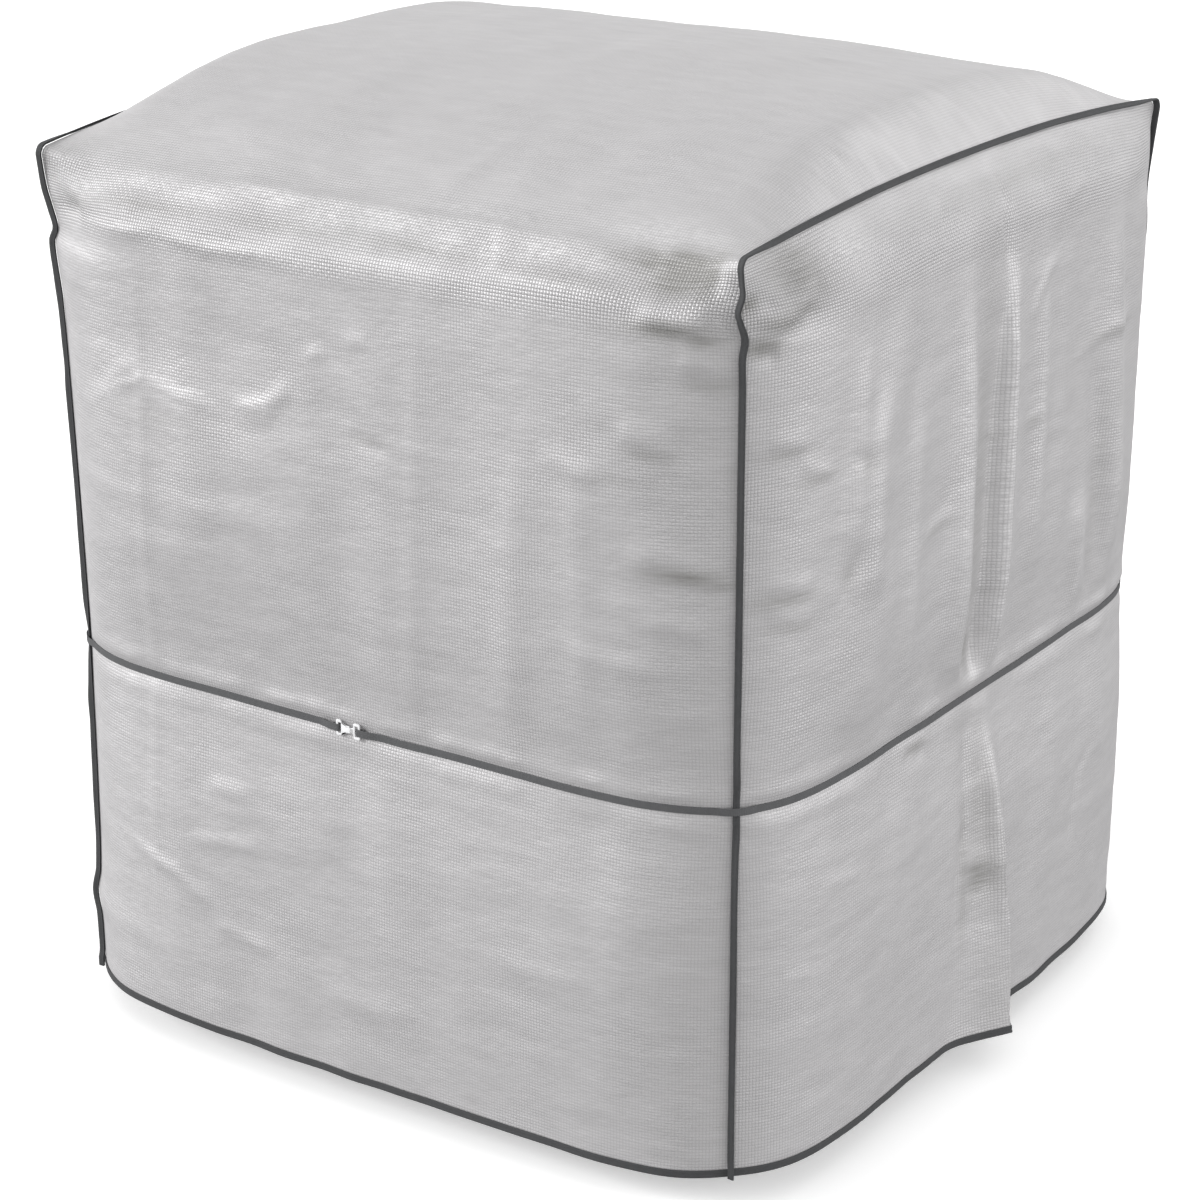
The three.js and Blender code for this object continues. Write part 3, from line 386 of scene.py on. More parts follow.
# Creases, listed one by one: the line they follow, their reach to the left and right of it, and their
# height. A line runs rightwards, with its left above it, or upwards, with its left before it.
creases = {
    "front": [
        # Wavy wrinkles high on the left of the front
        ([(-322, 666), (-283, 684), (-253, 695), (-220, 688), (-179, 683), (-150, 676)], 5, 8, 2.8),
        ([(-240, 690), (-252, 679), (-226, 675), (-180, 667)], 5, 6, 2.2),
        ([(-312, 678), (-290, 694), (-262, 706)], 5, 6, 1.6),
        ([(-140, 684), (-114, 690), (-92, 697), (-77, 709), (-66, 726)], 5, 7, 2.6),
        ([(-130, 676), (-100, 680), (-84, 694)], 4, 6, 1.6),
        ([(-46, 751), (-36, 755), (-22, 758)], 4, 6, 2.4),
        ([(4, 775), (14, 777), (26, 776)], 4, 6, 2),
        ([(6, 688), (26, 679), (48, 671)], 6, 8, -2),
        # Shoulder: its crest, its crisp lower edge, a pleat and a notch
        ([(-350, 868), (-250, 878), (-120, 886), (-30, 890), (90, 890), (230, 890),
           (300, 892)], 9, 10, 2.6),
        ([(-318, 842), (-266, 842), (-228, 847), (-200, 842), (-165, 838), (-100, 843),
           (-46, 846)], 4, 8, 2.4),
        ([(-46, 846), (10, 848), (60, 851), (120, 852), (160, 854)], 8, 14, 2.2),
        ([(166, 855), (200, 858), (250, 855), (305, 855)], 8, 14, 2.4),
        ([(168, 852), (164, 870), (150, 886), (138, 902)], 6, 6, 1.6),
        ([(158, 856), (152, 870), (140, 886)], 5, 5, -1.3),
        ([(48, 842), (44, 856), (38, 870)], 6, 6, -1.2),
        ([(-150, 858), (-110, 866), (-60, 862)], 10, 12, -2),
        ([(-30, 872), (40, 874), (100, 870)], 10, 12, 1.8),
        ([(-330, 866), (-290, 862), (-250, 866)], 8, 10, 2.2),
        # Packing lines
        ([(-272, 60), (-269, 250), (-264, 505), (-259, 673), (-264, 818), (-272, 880)], 5, 9, 1.1),
        ([(62, 300), (64, 426), (72, 560), (78, 690), (80, 840)], 7, 12, 1),
        ([(178, 400), (186, 560), (196, 720)], 16, 20, 2.2),
        ([(262, 420), (262, 560), (256, 720)], 14, 18, 1.8),
        # The hollow below the near ear, the fold that comes out of it and the troughs below
        ([(392, 866), (391, 878), (386, 892)], 6, 7, 3.5),
        ([(312, 896), (340, 893), (368, 892)], 8, 14, 2.6),
        ([(312, 846), (345, 841), (384, 837)], 20, 11, 6.5),
        ([(352, 806), (378, 798), (397, 790)], 16, 12, 3.2),
        ([(296, 738), (330, 729), (356, 722)], 15, 10, 3),
        ([(215, 700), (250, 694), (286, 688)], 10, 8, 1.8),
        ([(306, 624), (345, 618), (374, 611), (397, 604)], 18, 12, 3),
        ([(320, 560), (352, 556), (388, 552)], 10, 8, 1.8),
        ([(250, 520), (300, 512), (350, 514)], 12, 10, 1.6),
        ([(-340, 850), (-366, 846), (-384, 846)], 14, 14, -5),
        # Low on the left of the front
        ([(-311, 192), (-290, 186), (-264, 178), (-240, 172), (-214, 158), (-188, 142)], 5, 9, 3.2),
        ([(-192, 130), (-165, 124), (-112, 112)], 6, 9, 2.4),
        ([(-195, 282), (-165, 280), (-138, 280)], 6, 8, 2.4),
        ([(-220, 216), (-170, 222), (-118, 227)], 6, 8, 2),
        ([(-60, 96), (0, 90), (70, 92)], 10, 12, 1.6),
        ([(150, 190), (210, 180), (280, 186)], 12, 12, 1.6),
    ],
    "right": [
        # Right wall beside the near seam
        ([(-398, 828), (-376, 836), (-354, 846), (-338, 862), (-322, 884)], 16, 10, 7),
        ([(-398, 812), (-386, 808), (-372, 808)], 8, 8, -5),
        ([(-404, 866), (-388, 856), (-372, 852)], 8, 7, -3),
        ([(-382, 732), (-360, 727), (-340, 724)], 9, 7, 1.6),
        ([(-352, 705), (-330, 696), (-306, 688)], 9, 7, 1.5),
        ([(-394, 598), (-360, 592), (-326, 586)], 12, 8, 2.2),
        ([(-380, 568), (-354, 562), (-328, 556)], 9, 7, 1.4),
        ([(-296, 560), (-282, 583), (-270, 606)], 9, 8, -1.2),
        ([(-287, 704), (-263, 688), (-244, 668)], 9, 8, -1.2),
        # Shoulder of the right wall
        ([(-116, 856), (-106, 878), (-98, 896)], 5, 7, -1.8),
        ([(10, 806), (0, 858), (14, 880), (4, 900)], 5, 8, -3),
        ([(124, 852), (150, 858), (178, 866)], 5, 6, 2),
        ([(56, 742), (78, 778), (94, 791), (120, 802)], 6, 7, 1.8),
        ([(150, 680), (203, 690), (240, 699), (312, 698)], 9, 7, 1.5),
        # The two sides of the tuck, its trough, and the long ridges beside it
        ([(-58, 420), (-62, 470), (-70, 548), (-67, 620), (-67, 717), (-64, 806)], 22, 7, 6),
        ([(-34, 400), (-38, 436), (-44, 490)], 8, 9, -3),
        ([(12, 396), (14, 470), (14, 540), (14, 620), (14, 700), (16, 760), (28, 830)], 7, 16, 5),
        ([(88, 470), (88, 567), (89, 678), (84, 766), (76, 806)], 12, 16, 5.5),
        ([(205, 394), (192, 470), (185, 540)], 14, 17, 5.5),
        ([(250, 420), (229, 537), (216, 628), (206, 690)], 16, 15, -5.5),
        ([(237, 405), (222, 450), (210, 500)], 6, 8, -1.6),
        ([(282, 440), (262, 560), (254, 660), (246, 766), (240, 830)], 18, 20, 6.5),
        ([(-258, 540), (-251, 579), (-247, 642), (-240, 704), (-228, 760)], 18, 20, 7),
        ([(-290, 580), (-278, 645), (-268, 727), (-257, 804)], 14, 16, 5),
        ([(-178, 430), (-172, 540), (-168, 640), (-160, 760)], 18, 22, 5.5),
        ([(140, 430), (142, 560), (138, 700), (130, 800)], 14, 16, 2),
        # Short creases that cross them
        ([(-170, 574), (-124, 588), (-88, 594)], 7, 6, 1.4),
        ([(-36, 652), (-10, 646), (18, 640)], 9, 7, 0.6),
        ([(-36, 598), (-14, 592), (4, 586)], 9, 7, 0.4),
        ([(-24, 488), (-6, 486), (12, 482)], 8, 7, 0.4),
        ([(50, 638), (70, 644), (92, 650)], 7, 6, 0.8),
        ([(-248, 536), (-216, 538), (-186, 536)], 8, 7, 1.2),
        # Below the strap on the right wall
        ([(-50, 120), (-50, 186), (-36, 240), (-32, 300), (-26, 369)], 9, 7, -3),
        ([(22, 90), (16, 154), (12, 224), (8, 270), (14, 330)], 10, 11, 6),
        ([(-44, 206), (-14, 196), (18, 186)], 12, 8, 1.4),
        ([(-44, 160), (-16, 152), (8, 148)], 7, 7, 0.6),
        ([(204, 132), (210, 177), (219, 214), (254, 240)], 6, 8, -1.8),
        ([(-155, 362), (-133, 356), (-110, 350)], 9, 8, -2.4),
        ([(-304, 276), (-276, 275), (-244, 272)], 8, 7, 1.4),
        ([(-360, 202), (-342, 200), (-320, 198)], 8, 7, 1.2),
        ([(150, 330), (158, 250), (150, 160)], 14, 18, 2.2),
        ([(-170, 340), (-184, 240), (-178, 120)], 18, 22, 2.2),
    ],
    "top": [
        # Streaks and swells over the top
        ([(-50, -64), (10, -90), (74, -120)], 7, 9, 1.6),
        ([(160, -200), (184, -206), (210, -210)], 6, 8, 1.6),
        ([(294, -206), (324, -208), (356, -208)], 6, 8, 1.8),
        ([(186, 62), (226, 68), (270, 72)], 6, 8, 1.6),
        ([(336, -10), (346, -2), (360, 8)], 5, 6, 1.8),
        ([(362, -196), (384, -174), (400, -160)], 6, 7, 2.2),
        ([(364, 46), (376, 38), (388, 30)], 5, 6, 2),
        ([(366, 262), (380, 256), (396, 248)], 5, 6, 2),
        ([(52, -384), (70, -330), (82, -270)], 12, 18, 2),
        ([(-105, 330), (0, 300), (60, 290)], 9, 11, 1.4),
        ([(-290, -300), (-200, -330), (-110, -345)], 18, 22, 2),
    ],
}


# A crease fades towards its ends over this share of its length, down to this at the very end
creaseEnds = {"fade": 0.3, "atEnd": 0.15}


def creaseHeight(panel, along, up):
    out = np.zeros_like(along)
    for line, before, after, high in creases.get(panel, []):
        knots = np.array(line, float)
        steps = np.diff(knots, axis=0)
        lengths = np.linalg.norm(steps, axis=1)
        starts = np.concatenate([[0], np.cumsum(lengths)])
        nearest = np.full(along.shape, 1e9)
        signed = np.zeros(along.shape)
        way = np.zeros(along.shape)
        for k, (a, b) in enumerate(steps):
            t = ((along - knots[k, 0]) * a + (up - knots[k, 1]) * b) / lengths[k] ** 2
            t = np.clip(t, 0, 1)
            da = along - knots[k, 0] - t * a
            du = up - knots[k, 1] - t * b
            far = np.hypot(da, du)
            better = far < nearest
            nearest = np.where(better, far, nearest)
            signed = np.where(better, np.sign(a * du - b * da), signed)
            way = np.where(better, starts[k] + t * lengths[k], way)
        width = np.where(signed > 0, before, after)
        toEnd = np.minimum(way, starts[-1] - way) / starts[-1]
        out += high * bell(nearest, width) * ease(toEnd / creaseEnds["fade"] + creaseEnds["atEnd"])
    return out


# Soft uneven heights between random knots, the same each run
def softNoise(u, v, cellU, cellV, seed):
    draw = np.random.default_rng(seed)
    gridU, gridV = (u - u.min()) / cellU, (v - v.min()) / cellV
    iu, iv = np.floor(gridU).astype(int), np.floor(gridV).astype(int)
    knots = draw.normal(size=(iv.max() + 2, iu.max() + 2))
    fu, fv = ease(gridU - iu), ease(gridV - iv)
    low = mix(knots[iv, iu], knots[iv, iu + 1], fu)
    high = mix(knots[iv + 1, iu], knots[iv + 1, iu + 1], fu)
    return mix(low, high, fv)


# Uneven cloth: cell across and along the sheet, height, seed offset; the last are drawn-out ripples
unevenness = [
    (230, 190, 1.6, 0), (90, 120, 0.5, 1), (46, 330, 0.8, 4), (150, 26, 0.28, 2), (60, 14, 0.12, 3),
]

# The strap's groove and the cloth's bags above and below it, ruffled at two cell sizes
strapGroove = {
    "depth": 1.3,
    "reach": 8,
    "above": 2.1,
    "aboveAt": 13,
    "below": 0.9,
    "belowAt": 18,
    "spread": 8,
    "flatFor": 13,
    "flatShare": 0.9,
    "ruffles": [(0.4, 34), (0.25, 13)],
}


def strapPress(along, z, seed):
    off = z - waist["height"]
    uneven = 0.75
    for k, (high, cell) in enumerate(strapGroove["ruffles"]):
        uneven = uneven + high * softNoise(along, z, cell, 500, seed + k)
    bags = strapGroove["above"] * bell(off - strapGroove["aboveAt"], strapGroove["spread"])
    bags = bags + strapGroove["below"] * bell(off + strapGroove["belowAt"], strapGroove["spread"])
    groove = strapGroove["depth"] * bell(off, strapGroove["reach"])
    return bags * np.maximum(uneven, 0.1) - groove


def gridNormals(grid):
    return unit(np.cross(np.gradient(grid, axis=1), np.gradient(grid, axis=0)))


# Lengths for the weave: across the sheet from its middle column, and up it from its first row
def sheetLengths(grid):
    across = np.linalg.norm(np.diff(grid, axis=1), axis=2)
    u = np.concatenate([np.zeros((len(grid), 1)), np.cumsum(across, axis=1)], axis=1)
    u -= u[:, u.shape[1] // 2][:, None]
    upward = np.linalg.norm(np.diff(grid, axis=0), axis=2).mean(axis=1)
    v = np.concatenate([[0], np.cumsum(upward)])[:, None] + 0 * u
    return u, v


# The three sheets: their thickness, where their relief fades out, and the grids they are made on
sheet = {
    "thickness": 1.4,
    "edgeFade": 14,
    "fadeBelowArch": 30,
    "hemEdge": 1.3,
    "nearStrap": 30,
    "crowding": 0.4,
    "stripColumns": 127,
    "rightColumns": 201,
    "leftColumns": 121,
    "topRows": 125,
    "frontSteps": (6, 4),
    "backSteps": (12, 7),
    "rightSteps": (4.6, 4),
    "leftSteps": (8, 6),
}


# Which rows of a sheet belong to the named panels
def rowsOf(panels, *names):
    return np.array([panel in names for panel in panels])


# A place on a panel: along it, and up it. The front and back go on over the crest, unrolled.
def placesOn(panel, grid, onTop):
    if panel in ("left", "right"):
        return grid[..., 1], grid[..., 2]
    if panel == "top":
        return grid[..., 0], grid[..., 1]
    side = -1 if panel == "front" else 1
    overCrest = crown["crestHeight"] + crown["crestDepth"] - side * grid[..., 1]
    return grid[..., 0], np.where(onTop, overCrest, grid[..., 2])


# How strongly the marks of a table of painted shade, and of painted highlights, show at each point of a
# sheet, from none at 0 to all at 1
def markShare(grid, panels, marks):
    out = np.zeros(grid.shape[:2])
    onTop = rowsOf(panels, "top")
    for panel, rows in marks.items():
        mask = rowsOf(panels, panel)
        if not mask.any():
            continue
        if panel == "front":
            mask |= onTop
        along, up = placesOn(panel, grid[mask], onTop[mask][:, None])
        for a, b, reachAlong, reachUp, much in rows:
            far = ((along - a) / reachAlong) ** 2 + ((up - b) / reachUp) ** 2
            out[mask] = np.maximum(out[mask], much * np.exp(-far))
    return out


# Keeps the shares of painted shade, and of painted highlights, on a sheet's points
def paintMarks(piece, name, amounts):
    layer = piece.data.attributes.new(name, "FLOAT", "POINT")
    both = np.concatenate([amounts.ravel(), amounts.ravel() * 0])
    everywhere = np.zeros(len(piece.data.vertices), dtype=np.float32)
    everywhere[: len(both)] = both
    layer.data.foreach_set("value", everywhere)


# The sheet with its folds, creases and unevenness, which fade out where share nears a bound edge
def pushedOut(grid, panels, seed, share):
    u, v = sheetLengths(grid)
    out = np.zeros(grid.shape[:2])
    onTop = rowsOf(panels, "top")
    for panel in ("front", "back", "left", "right", "top"):
        mask = rowsOf(panels, panel)
        if not mask.any():
            continue
        if panel in ("front", "back"):
            mask |= onTop
        along, up = placesOn(panel, grid[mask], onTop[mask][:, None])
        out[mask] += foldHeight(panel, along, up) + creaseHeight(panel, along, up)
    for cellU, cellV, high, offset in unevenness:
        out += high * softNoise(u, v, cellU, cellV, seed + offset)
    # Under the strap the cloth lies flat
    z = grid[..., 2]
    onWall = ~onTop[:, None] & (z < 2 * waist["height"])
    onSide = rowsOf(panels, "left", "right")[:, None]
    along = np.where(onSide, grid[..., 1], grid[..., 0])
    flat = strapGroove["flatShare"] * bell(z - waist["height"], strapGroove["flatFor"])
    out = np.where(onWall, out * (1 - flat) + strapPress(along, z, seed + 9), out)
    fade = 1 - np.abs(share) ** sheet["edgeFade"]
    return grid + gridNormals(grid) * (out * fade)[..., None], u, v


def evenSteps(start, end, step):
    return np.linspace(start, end, max(int(round((end - start) / step)), 1) + 1)


# Row heights up a wall, twice as dense beside the strap
def wallHeights(step, shoulderStep):
    below, above = waist["height"] - sheet["nearStrap"], waist["height"] + sheet["nearStrap"]
    return np.concatenate([
        evenSteps(sheet["hemEdge"], below, step),
        evenSteps(below, waist["height"], step / 2)[1:],
        evenSteps(waist["height"], above, step / 2)[1:],
        evenSteps(above, shoulder["start"], step)[1:],
        evenSteps(shoulder["start"], earTop, shoulderStep)[1:],
    ])


# Stops from -1 to 1 that crowd a little towards both ends
def crowded(count):
    t = np.linspace(-1, 1, count)
    return mix(t, np.sin(t * math.pi / 2), sheet["crowding"])


def joinRows(parts):
    joined = {}
    for key in parts[0]:
        values = [part[key] for part in parts]
        joined[key] = sum(values, []) if key == "panel" else np.concatenate(values)
    return joined


def gridPiece(name, points, u, v):
    rows, columns = points.shape[:2]
    bpy.ops.object.select_all(action="DESELECT")
    bpy.ops.mesh.primitive_grid_add(x_subdivisions=columns - 1, y_subdivisions=rows - 1, size=1)
    piece = bpy.context.object
    piece.name = name
    piece.data.name = name
    assert len(piece.data.vertices) == rows * columns
    placed = points.reshape(-1, 3) * mm + (0, 0, hemLevel)
    piece.data.vertices.foreach_set("co", placed.ravel())
    corners = np.empty(len(piece.data.loops), dtype=np.int32)
    piece.data.loops.foreach_get("vertex_index", corners)
    flat = np.stack([u.ravel(), v.ravel()], axis=-1) * mm
    piece.data.uv_layers[0].data.foreach_set("uv", flat[corners].ravel())
    piece.data.update()
    return piece


def thicken(piece, thickness):
    wallOf = piece.modifiers.new("wall", "SOLIDIFY")
    wallOf.thickness = thickness * mm
    wallOf.offset = -1
    bpy.ops.object.modifier_apply(modifier=wallOf.name)


def roundEdges(piece, width, segments, angle):
    rounding = piece.modifiers.new("rounding", "BEVEL")
    rounding.width = width * mm
    rounding.segments = segments
    rounding.limit_method = "ANGLE"
    rounding.angle_limit = math.radians(angle)
    bpy.ops.object.modifier_apply(modifier=rounding.name)


# A sheet with an outer and an inner side: Solidify joins them, then both take their own places
def walledPiece(name, outer, inner, u, v, smoothAngle=50):
    piece = gridPiece(name, outer, u, v)
    thicken(piece, sheet["thickness"])
    count = outer.shape[0] * outer.shape[1]
    found = np.empty(len(piece.data.vertices) * 3)
    piece.data.vertices.foreach_get("co", found)
    found = found.reshape(-1, 3)
    sides = [side.reshape(-1, 3) * mm + (0, 0, hemLevel) for side in (outer, inner)]
    if np.abs(found[:count] - sides[0]).max() > 1e-5:
        sides.reverse()
    piece.data.vertices.foreach_set("co", np.concatenate(sides).ravel())
    piece.data.update()
    bpy.ops.object.shade_smooth_by_angle(angle=math.radians(smoothAngle))
    return piece


def finished(piece, slotName, material, *nodes):
    piece.data.materials.clear()
    piece.data.materials.append(material)
    if nodes:
        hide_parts(*nodes)
    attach(piece, "root")
    return piece


# Materials
def newMaterial(name):
    material = bpy.data.materials.new(name)
    material.use_nodes = True
    tree = material.node_tree
    tree.nodes.clear()
    output = tree.nodes.new("ShaderNodeOutputMaterial")
    shader = tree.nodes.new("ShaderNodeBsdfPrincipled")
    tree.links.new(shader.outputs["BSDF"], output.inputs["Surface"])
    return material, tree, shader


def plug(tree, value, socket):
    if isinstance(value, bpy.types.NodeSocket):
        tree.links.new(value, socket)
    else:
        socket.default_value = value


def calc(tree, operation, a, b=None, c=None):
    node = tree.nodes.new("ShaderNodeMath")
    node.operation = operation
    for value, socket in zip((a, b, c), node.inputs):
        if value is not None:
            plug(tree, value, socket)
    return node.outputs[0]


def remap(tree, value, fromMin, fromMax, toMin, toMax):
    node = tree.nodes.new("ShaderNodeMapRange")
    node.inputs["From Min"].default_value = fromMin
    node.inputs["From Max"].default_value = fromMax
    node.inputs["To Min"].default_value = toMin
    node.inputs["To Max"].default_value = toMax
    plug(tree, value, node.inputs["Value"])
    return node.outputs["Result"]


def noise(tree, vector, scale, detail=2, roughness=0.5, stretch=(1, 1, 1)):
    mapping = tree.nodes.new("ShaderNodeMapping")
    mapping.inputs["Scale"].default_value = stretch
    tree.links.new(vector, mapping.inputs["Vector"])
    node = tree.nodes.new("ShaderNodeTexNoise")
    node.inputs["Scale"].default_value = scale
    node.inputs["Detail"].default_value = detail
    node.inputs["Roughness"].default_value = roughness
    tree.links.new(mapping.outputs["Vector"], node.inputs["Vector"])
    return node.outputs["Fac"]


def bump(tree, height, distance, strength=1.0, before=None):
    node = tree.nodes.new("ShaderNodeBump")
    node.inputs["Distance"].default_value = distance
    node.inputs["Strength"].default_value = strength
    tree.links.new(height, node.inputs["Height"])
    if before is not None:
        tree.links.new(before, node.inputs["Normal"])
    return node.outputs["Normal"]


def separated(tree, vector):
    node = tree.nodes.new("ShaderNodeSeparateXYZ")
    tree.links.new(vector, node.inputs["Vector"])
    return node.outputs


def painted(tree, name):
    node = tree.nodes.new("ShaderNodeAttribute")
    node.attribute_name = name
    return node.outputs["Fac"]


def blended(tree, share, under, tint):
    node = tree.nodes.new("ShaderNodeMix")
    node.data_type = "RGBA"
    tree.links.new(share, node.inputs["Factor"])
    tree.links.new(under, node.inputs["A"])
    node.inputs["B"].default_value = (*tint, 1)
    return node.outputs["Result"]


def greyRamp(tree, value, dark, light):
    ramp = tree.nodes.new("ShaderNodeValToRGB")
    ramp.color_ramp.elements[0].color = (*dark, 1)
    ramp.color_ramp.elements[1].color = (*light, 1)
    tree.links.new(value, ramp.inputs["Fac"])
    return ramp.outputs["Color"]


clothFinish = {
    "pitch": 3.25,
    "weaveHeight": 0.36,
    "dark": (0.375, 0.368, 0.373),
    "light": (0.575, 0.565, 0.572),
    # The colour of the painted highlights, then that of the painted shade
    "paintedHighlight": (0.78, 0.77, 0.778),
    "shaded": (0.285, 0.28, 0.272),
    "bandHeight": 866,
    "bandWeave": 1.6,
    "roughness": 0.5,
    "metallic": 0.3,
    "coat": 0.08,
    "coatRoughness": 0.34,
    "crumpleBump": (0.0026, 0.6),
    "fineBump": (0.0005, 0.6),
}

# The sheet's noises: scale, detail, roughness and stretch
clothNoises = {
    "patches": (9, 4, 0.6, (1, 1, 1)),
    "crumple": (24, 4, 0.55, (0.7, 1.4, 1)),
    "fineCrumple": (130, 3, 0.6, (0.7, 1.2, 1)),
    "tone": (46, 4, 0.6, (0.45, 1.6, 1)),
    # Streaks break up the painted shade, specks break up the painted highlights
    "streaks": (120, 3, 0.6, (0.16, 2.4, 1)),
    "highlightSpeckle": (170, 3, 0.6, (0.6, 1.3, 1)),
}

# Painted shade, dark and dull, where hollows and creases lie in shadow: panel, place along and up, reach
# along and up, how much
paintedShades = {
    "front": [
        (346, 882, 32, 17, 1.6), (316, 886, 30, 10, 1.1), (372, 880, 14, 20, 1.2),
        (286, 884, 22, 6, 0.6), (340, 832, 34, 9, 1.1), (372, 824, 16, 8, 0.9), (380, 783, 20, 6, 0.7),
        (328, 716, 22, 6, 0.5), (358, 606, 32, 7, 1.1), (386, 598, 14, 6, 0.7), (26, 680, 26, 6, 0.3),
        (240, 862, 60, 6, 0.4), (-250, 863, 90, 6, 0.5), (-90, 864, 70, 6, 0.4), (70, 866, 80, 6, 0.4),
        (-356, 850, 26, 14, 0.3), (300, 690, 26, 5, 0.3), (-250, 658, 50, 7, 0.25),
        (352, 884, 24, 18, 0.5),
    ],
    "right": [
        (-338, 880, 34, 26, 0.8), (-322, 868, 18, 16, 0.6), (-345, 845, 22, 8, 0.9),
        (-368, 836, 22, 8, 0.9), (-388, 816, 20, 10, 0.9), (-399, 856, 9, 9, 0.9),
        (-362, 716, 22, 6, 0.5), (-330, 686, 24, 6, 0.5), (-360, 578, 34, 6, 0.7),
        (-350, 550, 28, 5, 0.5), (-262, 684, 16, 11, 0.35), (-283, 583, 10, 18, 0.35),
        (-28, 600, 26, 240, 0.4), (-14, 644, 22, 6, 0.5), (-16, 590, 18, 5, 0.35),
        (-8, 484, 18, 5, 0.35), (-26, 430, 12, 30, 0.7), (-12, 700, 16, 16, 0.25),
        (230, 530, 12, 80, 0.3), (-12, 182, 22, 24, 0.9), (4, 44, 26, 60, 0.22), (-36, 200, 8, 80, 0.5),
        (-8, 250, 20, 90, 0.42), (-133, 360, 22, 6, 0.6), (240, 695, 70, 6, 0.4), (68, 642, 16, 6, 0.4),
        (-124, 584, 34, 5, 0.35), (60, 890, 150, 8, 0.3),
    ],
}

# Painted highlights, where the coating catches the light: panel, place along and up, reach along and up,
# how much
paintedHighlights = {
    "front": [
        (-335, 870, 34, 9, 0.8), (-262, 880, 44, 6, 0.9), (-190, 876, 40, 8, 0.8),
        (-110, 884, 50, 6, 0.9), (-40, 876, 30, 11, 0.8), (30, 880, 50, 9, 0.9), (96, 872, 26, 13, 0.9),
        (150, 872, 18, 14, 0.9), (206, 878, 34, 8, 0.8), (256, 876, 26, 7, 0.6),
        (-266, 842, 70, 3, 0.7), (-120, 842, 80, 3, 0.6), (60, 851, 110, 3, 0.5),
        (220, 856, 60, 4, 0.6), (388, 872, 7, 11, 1.2), (-300, 672, 30, 8, 0.5),
        (-215, 690, 60, 6, 0.5), (-205, 670, 40, 4, 0.5), (-110, 694, 44, 6, 0.5),
        (-30, 756, 18, 4, 0.5), (14, 776, 16, 4, 0.5), (100, 903, 90, 7, 0.4), (310, 912, 60, 16, 0.5),
        (-380, 500, 22, 460, 0.35), (-300, 180, 110, 160, 0.22),
    ],
    "right": [
        (-270, 884, 40, 14, 0.5), (-76, 620, 9, 180, 0.4), (12, 620, 5, 190, 0.9),
        (88, 640, 7, 130, 0.4), (8, 240, 4, 90, 0.5), (-250, 660, 9, 120, 0.2),
        (262, 620, 9, 180, 0.35), (196, 460, 8, 80, 0.35), (-172, 560, 9, 120, 0.25),
    ],
}


# Plain weave of flat tapes: in turn a tape that runs up and one that runs across lies on top
def weaveHeight(tree, u, v, pitch):
    cellU, cellV = calc(tree, "DIVIDE", u, pitch * mm), calc(tree, "DIVIDE", v, pitch * mm)
    humpU = calc(tree, "ABSOLUTE", calc(tree, "SINE", calc(tree, "MULTIPLY", cellU, math.pi)))
    humpV = calc(tree, "ABSOLUTE", calc(tree, "SINE", calc(tree, "MULTIPLY", cellV, math.pi)))
    evenCell = calc(tree, "ADD", calc(tree, "FLOOR", cellU), calc(tree, "FLOOR", cellV))
    side = calc(tree, "PINGPONG", evenCell, 1)
    upright = calc(tree, "MULTIPLY", calc(tree, "POWER", humpU, 0.35), calc(tree, "POWER", humpV, 0.9))
    level = calc(tree, "MULTIPLY", calc(tree, "POWER", humpU, 0.9), calc(tree, "POWER", humpV, 0.35))
    onUpright = calc(tree, "MULTIPLY", upright, side)
    onLevel = calc(tree, "MULTIPLY", level, calc(tree, "SUBTRACT", 1, side))
    return calc(tree, "ADD", onUpright, onLevel)


